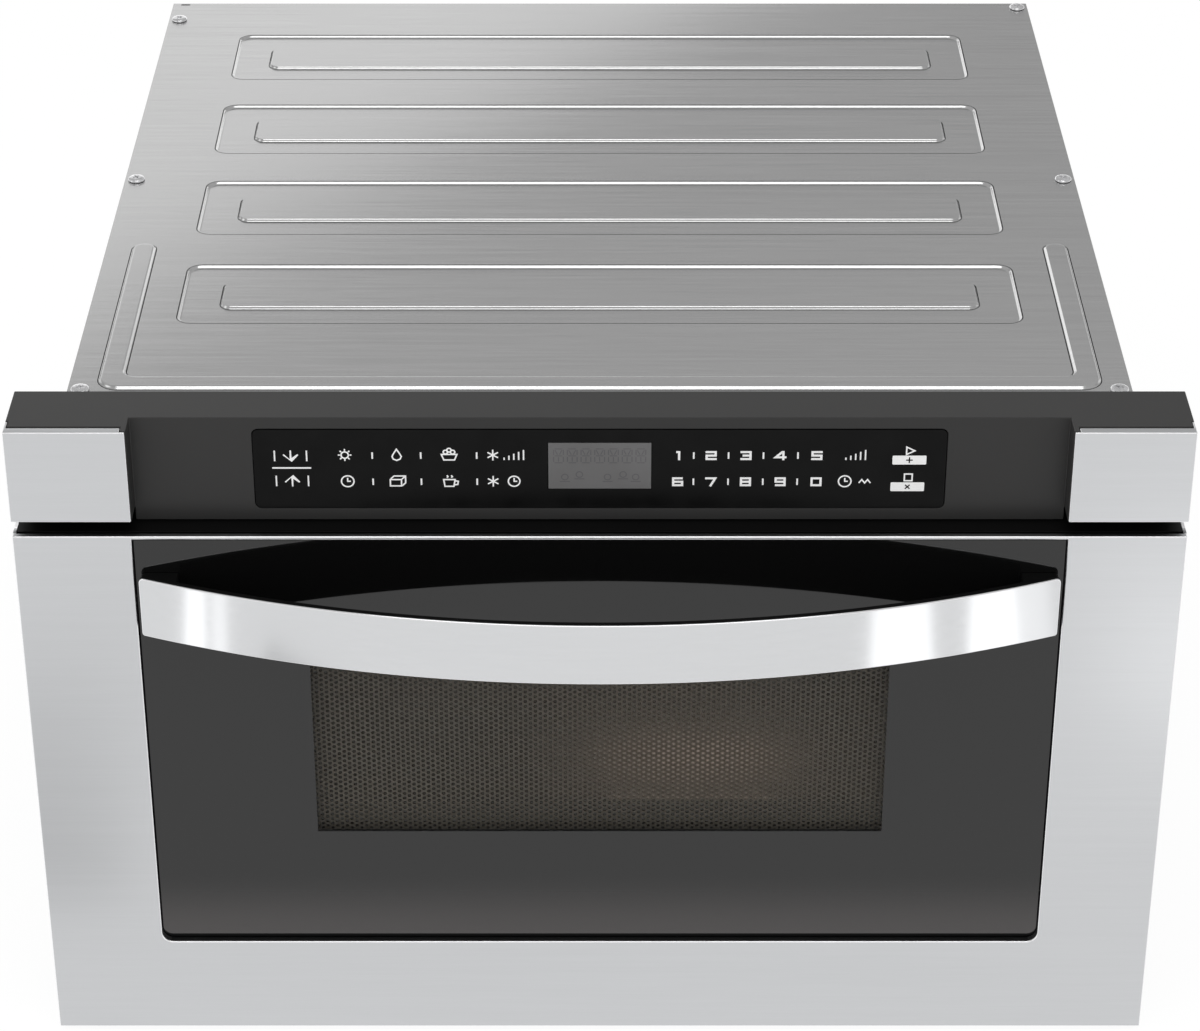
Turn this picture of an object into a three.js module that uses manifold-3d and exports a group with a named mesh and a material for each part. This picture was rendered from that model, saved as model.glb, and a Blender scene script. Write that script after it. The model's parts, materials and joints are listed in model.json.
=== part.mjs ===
// A built-in microwave oven of the drawer kind, as separate pieces.
// Millimetres, +Z up, the front faces -Y. Inside the file, y = 0 is the stainless front plane of
// the drawer and z = 0 is the drawer front's bottom edge; the last section moves the whole unit so
// that the origin lies at the bottom centre of its box.

import * as THREE from 'three';
import { mergeVertices } from 'three/addons/utils/BufferGeometryUtils.js';
import Module from 'manifold-3d';

const wasm = await Module();
wasm.setup();

// ---------------------------------------------------------------------------------------------
// Driving dimensions
// ---------------------------------------------------------------------------------------------

// Clearances
const SEAT_GAP = 0.3; // between pieces that are fastened together
const RUNNING_GAP = 0.6; // between pieces that slide past each other
const CUTOUT_MARGIN = 2; // round a piece that passes through a plate
const SHAFT_END_GAP = 1; // past the end of a shaft in its bore

// Front of the unit
const FRONT_WIDTH = 606;
const DRAWER_FRONT_HEIGHT = 320;
const TRIM_GAP = 8.5; // open line between the drawer front and the trim's end caps
const TRIM_CAP_HEIGHT = 52.7;
const TRIM_DEPTH = 39; // from the front plane back to the kitchen cabinet's face
const FACE_PLATE = 2;
const FACE_PLATE_INSET = 1.5;
const MOUTH_CORNER = 4;
const BENCH_CLEARANCE = 3; // the drawer front's bottom edge over the base

// Control panel
const CAP_WIDTH = 62;
const CAP_SHEET = 1.2;
const CAP_TOP_RETURN = 5.3;
const CAP_GROOVE = 0.8; // open line behind the top return, over the clearance
const CAP_RETURN_NOTCH = 2.8;
const CAP_SIDE_RETURN = 12;
const PANEL_RECESS = 16; // how far the panel face lies behind the front plane
const PANEL_CLEARANCE = 0.8; // under the panel face, over the drawer front
const HOUSING_WALL = 3;
const TRIM_LIP = 5.7; // how far the housing's top reaches back over the cabinet
const TOUCH_PANEL_WIDTH = 356;
const TOUCH_PANEL_HEIGHT = 46.2;
const TOUCH_PANEL_THICKNESS = 2.8;
const TOUCH_PANEL_PROUD = 0.3;
const TOUCH_PANEL_DROP = 7; // from the trim's top to the touch panel's top edge
const TOUCH_PANEL_CORNER = 3;
const DISPLAY_WIDTH = 53;
const DISPLAY_HEIGHT = 27;
const DISPLAY_DROP = 7.7; // from the touch panel's top edge
const DISPLAY_DEPTH = 8;
const BOARD_THICKNESS = 1.6;
const BOARD_STANDOFF = 5;
const BOARD_MARGIN = 8; // from the board's edge to its posts
const BOARD_WIDTH = 340;
const BOARD_HEIGHT = 42;
const POST_RADIUS = 3;
const RELAY_PLACES = [-120, -80, 90, 125];
const RELAY_WIDTH = 20;
const RELAY_DEPTH = 16;
const RELAY_HEIGHT = 5;

// Cabinet
const FLANGE_OVERLAP = 25.4; // how far the front stands out past the cabinet on each side
const CABINET_DEPTH = 547;
const CABINET_DROP = 5.7; // cabinet top below the trim's top
const CABINET_SHEET = 1.2;
const COVER_FLANGE = 20; // inward flange that the top cover is screwed to
const BASE_TRAY_HEIGHT = 15;
const FLANGE_STRIP = 2;
const FLANGE_STRIP_MARGIN = 1.5;
const FLANGE_SCREW_RADIUS = 2.5;
const FLANGE_SCREW_INSET = 13;
const FLANGE_SCREW_HEIGHTS = [45, 300];

// Pressings in the top cover
const PRESS_DEPTH = 1.5;
const PRESS_SLOPE = 1.5; // how far a pressed wall leans over its height
const RIB_COUNT = 4;
const RIB_PITCH = 110;
const RIB_LENGTH = 458;
const RIB_WIDTH = 70.8;
const RIB_GROOVE = 20.4; // in front of and behind the island
const RIB_END_GROOVE = 23; // at the island's two ends
const RIB_FIRST = 93.2; // from the cabinet's front edge to the first rib's front edge
const RIB_CORNER = 8;
const BEAD_WIDTH = 14.5;
const BEAD_SIDE_MARGIN = 14.3;
const BEAD_FRONT_MARGIN = 17;
const BEAD_ARM = 172.8; // length of the bead's two arms
const BEAD_CORNER = 12;
const SCREW_INSET = 6.75; // cover screws, from the cabinet's side
const SCREW_HEAD_RADIUS = 4.9;
const SCREW_CROWN_RADIUS = 2.9;
const SCREW_HEAD_HEIGHT = 1.9;
const SCREW_EDGE_HEIGHT = 0.7;
const SCREW_SHANK_RADIUS = 1.8;
const SCREW_LENGTH = 8;
const SCREW_FROM_FRONT = [17, 275.5]; // the first two screws on each side
const SCREW_FROM_REAR = { left: 28.2, right: 8 }; // the third one

// Rear panel
const VENT_COUNT = 10;
const VENT_PITCH = 11;
const VENT_WIDTH = 60;
const VENT_HEIGHT = 5;
const VENT_COLUMNS = [-145, 105];
const VENT_BOTTOM = 150;
const INLET_FROM_SIDE = 76.35; // its axis to the side panel
const INLET_Z = 60;
const INLET_RADIUS = 10;
const INLET_BORE = 4.5;
const INLET_COLLAR = 7.2;
const INLET_FLANGE = 13;
const INLET_STAND_OUT = 6.7;
const INLET_NUT = 5;

// Cavity and the space round it
const SPACE_UNDER_CAVITY = 56; // drawer front's bottom edge to the cavity floor
const SPACE_OVER_CAVITY = 113.5; // cavity ceiling to the cabinet's top
const SPACE_BESIDE_CAVITY = 49.6;
const REAR_BAY_DEPTH = 115;
const CAVITY_SHEET = 0.8;
const CAVITY_FLANGE = 8;
const DOME_RADIUS = 95;
const DOME_HEIGHT = 18;
const STIRRER_FROM_FACE = 216; // stirrer axis behind the cavity's mouth
const STIRRER_RADIUS = 78;
const STIRRER_BLADE = 26;
const STIRRER_HUB = 9;
const STIRRER_HUB_HEIGHT = 6;
const STIRRER_VANES = 4;
const STIRRER_TILT = 18; // degrees
const STIRRER_COVER = 2;
const STIRRER_COVER_LAP = 5;
const SHAFT_RADIUS = 2.2;
const WAVEGUIDE_WIDTH = 86;
const WAVEGUIDE_HEIGHT = 36;
const WAVEGUIDE_FRONT = 50; // in front of the stirrer axis
const FEED_WIDTH = 60;
const FEED_LENGTH = 34;
const FEED_FROM_SHAFT = 30;
const STIRRER_MOTOR_RADIUS = 24;
const STIRRER_MOTOR_HEIGHT = 15;
const STIRRER_MOTOR_BORE = 10;
const STIRRER_EAR_REACH = 8;
const STIRRER_EAR_WIDTH = 10;
const LAMP_FROM_WALL = 78; // its axis to the cavity's left wall
const LAMP_BELOW_CEILING = 45;
const LAMP_RADIUS = 10;
const LAMP_LENGTH = 26;
const SOCKET_SIZE = 30;
const SOCKET_DEPTH = 20;

// Rear bay: microwave source, its supply and its cooling
const MAGNETRON_WIDTH = 90;
const MAGNETRON_DEPTH = 76;
const MAGNETRON_HEIGHT = 74;
const MAGNETRON_PLATE = 3;
const MAGNETRON_FINS = 6;
const FIN_THICKNESS = 1.2;
const FIN_INSET = 1;
const ANODE_RADIUS = 20;
const ANTENNA_RADIUS = 9;
const ANTENNA_HEIGHT = 24;
const FILTER_BOX_HEIGHT = 38;
const TRANSFORMER_SIDE_CLEARANCE = 75.5; // to the left side panel
const TRANSFORMER_WIDTH = 100;
const TRANSFORMER_DEPTH = 62;
const TRANSFORMER_HEIGHT = 84;
const COIL_STAND_OUT = 14;
const COIL_HEIGHT = 25;
const COIL_CORNER = 4;
const COIL_SPACING = 34; // between the middles of the two coils
const CORE_WINDOW = 18;
const CAPACITOR_CLEARANCE = 20; // to the transformer
const CAPACITOR_WIDTH = 50;
const CAPACITOR_DEPTH = 30;
const CAPACITOR_LENGTH = 88;
const CAPACITOR_CORNER = 14;
const TERMINAL_SIZE = [6, 1, 8];
const TERMINAL_SPACING = 25;
const FAN_X = 100; // the shroud plate's inner face
const FAN_BAY_CLEARANCE = 11; // fan tips to the bay's front and rear walls
const FAN_TIP_CLEARANCE = 2;
const FAN_BLADES = 5;
const FAN_TILT = 55; // degrees
const FAN_DEPTH = 20;
const FAN_HUB = 12;
const PADDLE_THICKNESS = 1.4;
const PADDLE_CHORD = 14;
const PADDLE_SHIFT = 2.5; // paddles in front of the hub's middle
const PADDLE_TIP_INSET = 1; // keeps the paddles' square tips inside the fan's circle
const SHROUD_PLATE = 2;
const SHROUD_FOOT = 16;
const SHROUD_RIM = 5; // metal left beside the fan opening
const SHROUD_HEAD = 14; // metal left over the fan opening
const MOTOR_STANDOFF = 10;
const MOTOR_STACK = 20;
const MOTOR_WIDTH = 44;
const MOTOR_HEIGHT = 56;
const MOTOR_BAR = 2.5;
const MOTOR_BAR_WIDTH = 14;

// Slides
const SLIDE_HEIGHT = 45;
const SLIDE_DEPTH = 12.7;
const SLIDE_SHEET = 1.2;
const SLIDE_CENTRE_HEIGHT = 92.5;
const SLIDE_FRONT_INSET = 6; // slide's front end behind the face plate
const OUTER_SLIDE_LENGTH = 450;
const MIDDLE_SLIDE_LENGTH = 435;
const INNER_SLIDE_LENGTH = 445;
const RAIL_TAB_WIDTH = 17.6;

// Rack and pinion
const GEAR_MODULE = 2;
const PINION_TEETH = 14;
const PRESSURE_ANGLE = 20; // degrees
const PINION_ADDENDUM = 1.5;
const PINION_DEDENDUM = 2.5;
const RACK_ADDENDUM = 1.5;
const RACK_DEDENDUM = 2;
const BACKLASH = 0.35;
const GEAR_FACE = 10;
const RACK_BACK = 10; // solid bar behind the rack's teeth
const RACK_FLANGE_WIDTH = 44;
const RACK_FLANGE_HEIGHT = 22;
const PINION_FROM_FACE = 21;
const PINION_FLOOR_CLEARANCE = 6.3;
const DRAWER_TRAVEL = 390;
const RACK_LEAD = 2; // teeth in front of the pinion at rest
const RACK_SPARE = 20; // length of the rack past the pinion at full travel
const PINION_SHAFT_RADIUS = 4;
const PINION_SHAFT_LENGTH = 15;
const GEARBOX_WIDTH = 26;
const GEARBOX_DEPTH = 56;
const GEARBOX_TOP_CLEARANCE = 4; // gearbox over the pinion's tips
const DRIVE_MOTOR_RADIUS = 14;
const DRIVE_MOTOR_LENGTH = 46;
const MOTOR_FOOT_THICKNESS = 2;
const MOTOR_FOOT_REACH = 12;

// Drawer front
const STILE_WIDTH = 61.5;
const BOTTOM_RAIL_HEIGHT = 59.5;
const TOP_RAIL_HEIGHT = 2;
const FRAME_SHEET = 1.2;
const FRAME_TOP_RETURN = 5;
const FRAME_LIP = 4.2;
const OPENING_CORNER = 6;
const GLASS_THICKNESS = 4;
const GLASS_SET_BACK = 0.5;
const GLASS_SIDE_GAP = 1.5;
const GLASS_BOTTOM_GAP = 5.3;
const GLASS_CORNER = 5;
const CARRIER_FRONT_WALL = 3.2;
const CARRIER_EDGE_WALL = 5;
const TUNNEL_WALL = 3;
const SCREEN_THICKNESS = 0.8;
const SCREEN_LAP = 12; // screen past the window on each side
const INNER_WINDOW_THICKNESS = 2.5;
const INNER_PANEL_THICKNESS = 1.5;
const INNER_PANEL_INSET = 4;
const REAR_FITTING_THICKNESS = 1.3; // choke cover, rail tabs, rack flange and hook plates
const WINDOW_WIDTH = 312;
const WINDOW_ABOVE_TUB_FLOOR = 64;
const WINDOW_BELOW_TUB_RIM = 6;
const CHOKE_WIDTH = 30;
const CHOKE_BOTTOM = 13;

// Drawer tub
const TUB_SIDE_CLEARANCE = 6.8;
const TUB_FLOOR_CLEARANCE = 10;
const TUB_TOP_CLEARANCE = 16;
const TUB_REAR_CLEARANCE = 24;
const TUB_SHEET = 1;
const TUB_RIM = 3.2;
const TUB_CORNER = 12;
const TRAY_THICKNESS = 4;
const TRAY_SIDE_CLEARANCE = 2;

// Handle
const HANDLE_INSET = 64; // from the front's side edge to the handle's end
const HANDLE_HEIGHT = 35.2;
const HANDLE_CENTRE_BELOW_TOP = 39.4; // handle's middle under the drawer front's top edge
const HANDLE_BOW = 46.9; // how far the middle stands out in front of the ends
const HANDLE_PAD = 18; // length of the foot at each end
const HANDLE_STAND_OFF = 1.4; // the bar's ends in front of the feet's seat
const HANDLE_BAR = 2.2;
const HANDLE_SKIN = 1.5;
const HANDLE_STEPS = 28;
const STUD_RADIUS = 3;
const STUD_LENGTH = 7.5;

// Latch hooks and interlock switches
const HOOK_X_INSET = 67; // from the front's side edge
const HOOK_THICKNESS = 4;
const HOOK_STEM = 10;
const HOOK_NOSE = 6;
const HOOK_REACH = 27; // past the drawer's rear face
const HOOK_OVER_CEILING = 34;
const HOOK_PLATE_WIDTH = 16;
const HOOK_PLATE_HEIGHT = 20;
const SWITCH_WIDTH = 20;
const SWITCH_DEPTH = 42;
const SWITCH_WALL = 8;
const SWITCH_CHANNEL_MARGIN = 3;
const MICROSWITCH_THICKNESS = 7;

// ---------------------------------------------------------------------------------------------
// Planes worked out from the driving dimensions
// ---------------------------------------------------------------------------------------------

const halfFront = FRONT_WIDTH / 2;
const drawerTop = DRAWER_FRONT_HEIGHT;
const trimBottom = drawerTop + TRIM_GAP;
const trimTop = trimBottom + TRIM_CAP_HEIGHT;
const faceRear = TRIM_DEPTH;
const faceFront = faceRear - FACE_PLATE;
const faceHalf = halfFront - FACE_PLATE_INSET;

const cabinetHalf = halfFront - FLANGE_OVERLAP;
const cabinetInside = cabinetHalf - CABINET_SHEET;
const cabinetFront = faceRear + SEAT_GAP;
const cabinetRear = faceRear + CABINET_DEPTH;
const cabinetTop = trimTop - CABINET_DROP;
const coverUnderside = cabinetTop - CABINET_SHEET;
const baseBottom = -BENCH_CLEARANCE;
const baseTop = baseBottom + CABINET_SHEET;
const bayFloor = baseTop + SEAT_GAP;

const cavityHalf = cabinetHalf - SPACE_BESIDE_CAVITY;
const cavityFloor = SPACE_UNDER_CAVITY;
const cavityCeiling = cabinetTop - SPACE_OVER_CAVITY;
const cavityRear = cabinetRear - REAR_BAY_DEPTH;
const bayFront = cavityRear + CAVITY_SHEET;
const bayRear = cabinetRear - CABINET_SHEET;
const bayMiddle = (bayFront + bayRear) / 2;
const inletX = cabinetInside - INLET_FROM_SIDE;
const lampX = LAMP_FROM_WALL - cavityHalf;
const transformerX = TRANSFORMER_SIDE_CLEARANCE + TRANSFORMER_WIDTH / 2 - cabinetInside;
const capacitorX = transformerX + (TRANSFORMER_WIDTH + CAPACITOR_WIDTH) / 2 + CAPACITOR_CLEARANCE;

const doorRear = faceFront - RUNNING_GAP - REAR_FITTING_THICKNESS - SEAT_GAP;
const fittingFront = doorRear + SEAT_GAP;
const fittingRear = fittingFront + REAR_FITTING_THICKNESS;
const innerPanelFront = doorRear - INNER_PANEL_THICKNESS;
const carrierRear = innerPanelFront - SEAT_GAP;
const openingHalf = halfFront - STILE_WIDTH;
const openingTop = drawerTop - TOP_RAIL_HEIGHT;
const glassHalf = openingHalf - GLASS_SIDE_GAP;
const glassBottom = BOTTOM_RAIL_HEIGHT + GLASS_BOTTOM_GAP;
const glassTop = openingTop - SEAT_GAP;
const glassRear = GLASS_SET_BACK + GLASS_THICKNESS;

const tubHalf = cavityHalf - TUB_SIDE_CLEARANCE;
const tubBottom = cavityFloor + TUB_FLOOR_CLEARANCE;
const tubTop = cavityCeiling - TUB_TOP_CLEARANCE;
const tubRear = cavityRear - TUB_REAR_CLEARANCE;
const windowHalf = WINDOW_WIDTH / 2;
const windowBottom = tubBottom + WINDOW_ABOVE_TUB_FLOOR;
const windowTop = tubTop - WINDOW_BELOW_TUB_RIM;

const pitchRadius = (GEAR_MODULE * PINION_TEETH) / 2;
const pinionTipRadius = pitchRadius + PINION_ADDENDUM;
const pinionY = faceRear + PINION_FROM_FACE;
const pinionZ = baseTop + PINION_FLOOR_CLEARANCE + pinionTipRadius;
const rackPitchZ = pinionZ + pitchRadius;
const rackTipZ = rackPitchZ - RACK_ADDENDUM;
const rackRootZ = rackPitchZ + RACK_DEDENDUM;
const rackTopZ = rackRootZ + RACK_BACK;
const toothPitch = Math.PI * GEAR_MODULE;
const pinionShaftEnd = GEAR_FACE / 2 + PINION_SHAFT_LENGTH;

const slideOuterX = cabinetInside - SEAT_GAP;
const slideInnerX = slideOuterX - SLIDE_DEPTH;
const slideFront = faceRear + SLIDE_FRONT_INSET;
const slideStep = SLIDE_SHEET + RUNNING_GAP;

const stirrerY = cabinetFront + STIRRER_FROM_FACE;
const domeTop = cavityCeiling + DOME_HEIGHT;
const waveguideBottom = domeTop + CAVITY_SHEET + SEAT_GAP;
const waveguideTop = waveguideBottom + WAVEGUIDE_HEIGHT;
const magnetronTop = waveguideBottom - SEAT_GAP;
const magnetronMiddle = magnetronTop - MAGNETRON_PLATE - MAGNETRON_HEIGHT / 2;
const shaftHole = SHAFT_RADIUS + RUNNING_GAP;

const handleHalf = halfFront - HANDLE_INSET;
const handleZ = drawerTop - HANDLE_CENTRE_BELOW_TOP;
const handleBack = GLASS_SET_BACK - SEAT_GAP;
const studX = handleHalf - HANDLE_PAD / 2;

const hookX = halfFront - HOOK_X_INSET;
const hookZ = cavityCeiling + HOOK_OVER_CEILING;
const hookTip = doorRear + HOOK_REACH;
const hookLow = hookZ - HOOK_STEM / 2;
const hookHigh = hookZ + HOOK_STEM / 2;
const switchChannel = [hookLow - SWITCH_CHANNEL_MARGIN, hookHigh + HOOK_NOSE + SWITCH_CHANNEL_MARGIN];

// ---------------------------------------------------------------------------------------------
// Shapes and solids
// ---------------------------------------------------------------------------------------------

const SIDES = { left: -1, right: 1 };
const THROUGH = 5; // how far a cutter runs past what it cuts
const WELD = 1; // how far a form runs into the one that it is joined to
const CORNER_FACETS = 4; // facets in a rounded corner or a small curve
const HOLE_FACETS = 8; // facets round a screw hole or a small post
const SHAFT_FACETS = 12; // facets round a shaft, a stud or a bore
const ROUND_FACETS = 20; // facets round a motor, a ring or a neck
const DOME_FACETS = 24; // facets round the widest circles

// Turns a closed three.js geometry into a solid that can be joined and cut.
function solidOf(geometry) {
  const bare = geometry.clone();
  bare.deleteAttribute('normal');
  bare.deleteAttribute('uv');
  const merged = mergeVertices(bare, 1e-4);
  const index = merged.index.array;
  const triangles = [];
  for (let i = 0; i < index.length; i += 3) {
    const [a, b, c] = [index[i], index[i + 1], index[i + 2]];
    if (a !== b && b !== c && c !== a) triangles.push(a, b, c);
  }
  const vertProperties = new Float32Array(merged.attributes.position.array);
  const triVerts = new Uint32Array(triangles);
  return new wasm.Manifold(new wasm.Mesh({ numProp: 3, vertProperties, triVerts }));
}

function geometryOf(solid) {
  const mesh = solid.getMesh();
  const geometry = new THREE.BufferGeometry();
  geometry.setAttribute('position', new THREE.BufferAttribute(mesh.vertProperties, 3));
  geometry.setIndex(new THREE.BufferAttribute(mesh.triVerts, 1));
  geometry.computeVertexNormals();
  return geometry;
}

const join = (...solids) => solids.reduce((a, b) => a.add(b));
const cut = (base, ...tools) => tools.reduce((a, b) => a.subtract(b), base);

function block([x0, x1], [y0, y1], [z0, z1]) {
  const size = [x1 - x0, y1 - y0, z1 - z0].map(Math.abs);
  const geometry = new THREE.BoxGeometry(...size);
  geometry.translate((x0 + x1) / 2, (y0 + y1) / 2, (z0 + z1) / 2);
  return solidOf(geometry);
}

// A span that is the same on both sides of zero.
const both = (half) => [-half, half];
const around = (middle, size) => [middle - size / 2, middle + size / 2];
const grow = ([low, high], by) => [low - by, high + by];

// Which way a flat shape's own x, its own y and its thickness point, for each direction of travel.
const FRAMES = {
  x: [[0, 1, 0], [0, 0, 1], [1, 0, 0]],
  y: [[0, 0, 1], [1, 0, 0], [0, 1, 0]],
  z: [[1, 0, 0], [0, 1, 0], [0, 0, 1]],
};

// Sweeps a flat shape along an axis. A shape swept along x is drawn in (y, z), along y in (z, x)
// and along z in (x, y).
function prism(shape, axis, [from, to], options = {}) {
  const curveSegments = CORNER_FACETS / 2; // three.js doubles this number on an arc
  const settings = { depth: to - from, bevelEnabled: false, curveSegments, ...options };
  const geometry = new THREE.ExtrudeGeometry(shape, settings);
  geometry.translate(0, 0, from);
  const [u, v, w] = FRAMES[axis].map((direction) => new THREE.Vector3(...direction));
  geometry.applyMatrix4(new THREE.Matrix4().makeBasis(u, v, w));
  return solidOf(geometry);
}

function polygon(points) {
  return new THREE.Shape(points.map(([a, b]) => new THREE.Vector2(a, b)));
}

function circle(a, b, radius) {
  const shape = new THREE.Shape();
  shape.absarc(a, b, radius, 0, 2 * Math.PI, false);
  return shape;
}

function rod(axis, [a, b], radius, span, facets = ROUND_FACETS) {
  return prism(circle(a, b, radius), axis, span, { curveSegments: facets / 2 });
}

function roundedRectangle([a0, a1], [b0, b1], radius) {
  const shape = new THREE.Shape();
  const quarter = Math.PI / 2;
  shape.absarc(a1 - radius, b0 + radius, radius, -quarter, 0, false);
  shape.absarc(a1 - radius, b1 - radius, radius, 0, quarter, false);
  shape.absarc(a0 + radius, b1 - radius, radius, quarter, 2 * quarter, false);
  shape.absarc(a0 + radius, b0 + radius, radius, 2 * quarter, 3 * quarter, false);
  shape.closePath();
  return shape;
}

// A flat plate that faces the front: its outline is given in (x, z).
function frontPlate(xSpan, ySpan, zSpan, radius = 0) {
  if (radius === 0) return block(xSpan, ySpan, zSpan);
  return prism(roundedRectangle(zSpan, xSpan, radius), 'y', ySpan);
}

// The same plate with only its two lower corners rounded.
function roundFootPlate(xSpan, ySpan, [low, high], radius) {
  const squareHead = block(xSpan, ySpan, [(low + high) / 2, high]);
  return join(frontPlate(xSpan, ySpan, [low, high], radius), squareHead);
}

// ---------------------------------------------------------------------------------------------
// Materials
// ---------------------------------------------------------------------------------------------

function finish(color, roughness, metalness) {
  return new THREE.MeshStandardMaterial({ color, roughness, metalness });
}

const brushedStainless = finish(0xcfd0d2, 0.32, 1);
const coverSteel = finish(0xa9a9a9, 0.45, 1);
const zincSteel = finish(0xb4b6b8, 0.5, 1);
const blackSteel = finish(0x151515, 0.5, 0.4);
const trimPlastic = finish(0x3f3e3e, 0.45, 0);
const blackPlastic = finish(0x101010, 0.5, 0);
const darkGlass = finish(0x1d1e1f, 0.05, 0);
const clearGlass = finish(0xaab0b0, 0.05, 0);
const displayGrey = finish(0x7a7879, 0.35, 0);
const boardGreen = finish(0x1f4a2c, 0.6, 0);
const cavityPaint = finish(0xc4c2ba, 0.4, 0.1);
const stainlessTub = finish(0xb9b7b2, 0.3, 1);
const ceramic = finish(0x2a2725, 0.25, 0);
const chokeGrey = finish(0x77787a, 0.5, 0);
const coreSteel = finish(0x4c4e52, 0.6, 0.8);
const whitePlastic = finish(0xd8d6cf, 0.5, 0);
const micaSheet = finish(0xb9a98a, 0.6, 0);
const aluminium = finish(0xc3c5c8, 0.35, 1);
const zincScrew = finish(0xd6d6d2, 0.3, 1);

// ---------------------------------------------------------------------------------------------
// Scene graph
// ---------------------------------------------------------------------------------------------

const unit = new THREE.Group();
const cabinet = new THREE.Group();
const drawer = new THREE.Group();
const drive = new THREE.Group();
unit.add(cabinet, drawer, drive);

function place(group, name, solid, material) {
  const mesh = new THREE.Mesh(geometryOf(solid), material);
  mesh.name = name;
  group.add(mesh);
  return mesh;
}

// Makes one piece for each side of the unit, named with its side.
function placePair(group, name, make, material) {
  for (const [side, sign] of Object.entries(SIDES)) {
    place(group, `${name}_${side}`, make(sign, side), material);
  }
}

// ---------------------------------------------------------------------------------------------
// Cabinet: base, sides, rear, cover and the face plate
// ---------------------------------------------------------------------------------------------

function makeBasePan() {
  const half = cabinetInside - SEAT_GAP;
  const rear = bayRear - SEAT_GAP;
  const tray = block(both(half), [cabinetFront, rear], [baseBottom, baseBottom + BASE_TRAY_HEIGHT]);
  const inside = block(
    both(half - CABINET_SHEET),
    [cabinetFront + CABINET_SHEET, rear - CABINET_SHEET],
    [baseTop, baseBottom + BASE_TRAY_HEIGHT + THROUGH],
  );
  return cut(tray, inside);
}

// Where the cover screws stand, as [x, y] pairs with the side's name.
function coverScrewPlaces() {
  const places = [];
  for (const [side, sign] of Object.entries(SIDES)) {
    const x = sign * (cabinetHalf - SCREW_INSET);
    for (const back of SCREW_FROM_FRONT) places.push([x, faceRear + back]);
    places.push([x, cabinetRear - SCREW_FROM_REAR[side]]);
  }
  return places;
}

const screwPlaces = coverScrewPlaces();
const screwHoles = screwPlaces.map((at) =>
  rod(
    'z',
    at,
    SCREW_SHANK_RADIUS + SEAT_GAP,
    [cabinetTop - 2 * THROUGH, cabinetTop + THROUGH],
    HOLE_FACETS,
  ),
);

function makeSidePanel(sign) {
  const flangeTop = coverUnderside - SEAT_GAP;
  const outline = [
    [cabinetHalf, baseBottom + SEAT_GAP],
    [cabinetHalf, flangeTop],
    [cabinetHalf - COVER_FLANGE, flangeTop],
    [cabinetHalf - COVER_FLANGE, flangeTop - CABINET_SHEET],
    [cabinetInside, flangeTop - CABINET_SHEET],
    [cabinetInside, baseBottom + SEAT_GAP],
  ];
  const panel = prism(polygon(outline.map(([x, z]) => [z, sign * x])), 'y', [cabinetFront, cabinetRear]);
  return cut(panel, ...screwHoles);
}

function makeRearPanel() {
  const half = cabinetInside - SEAT_GAP;
  const top = coverUnderside - 2 * SEAT_GAP - CABINET_SHEET;
  const panel = block(both(half), [bayRear, cabinetRear], [baseBottom + SEAT_GAP, top]);
  const through = [bayRear - THROUGH, cabinetRear + THROUGH];
  const vents = [];
  for (const x of VENT_COLUMNS) {
    for (let row = 0; row < VENT_COUNT; row += 1) {
      const z = VENT_BOTTOM + row * VENT_PITCH;
      vents.push(block([x, x + VENT_WIDTH], through, [z, z + VENT_HEIGHT]));
    }
  }
  const inlet = rod('y', [INLET_Z, inletX], INLET_RADIUS, through);
  return cut(panel, inlet, ...vents);
}

// One long pressed groove round a flat island, as the volume that is pushed down.
function ribVolume(front) {
  const slope = { bevelEnabled: true, bevelSegments: 1, bevelThickness: PRESS_DEPTH };
  const outer = roundedRectangle(both(RIB_LENGTH / 2), [front, front + RIB_WIDTH], RIB_CORNER);
  const island = roundedRectangle(
    both(RIB_LENGTH / 2 - RIB_END_GROOVE),
    [front + RIB_GROOVE, front + RIB_WIDTH - RIB_GROOVE],
    RIB_CORNER / 2,
  );
  const pressed = prism(outer, 'z', [cabinetTop, cabinetTop], {
    ...slope,
    bevelSize: PRESS_SLOPE,
    bevelOffset: -PRESS_SLOPE,
  });
  const foot = prism(island, 'z', [cabinetTop - PRESS_DEPTH, cabinetTop - PRESS_DEPTH], {
    ...slope,
    bevelSize: PRESS_SLOPE,
  });
  const top = prism(island, 'z', [cabinetTop - PRESS_DEPTH, cabinetTop + THROUGH]);
  return cut(pressed, foot, top);
}

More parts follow.
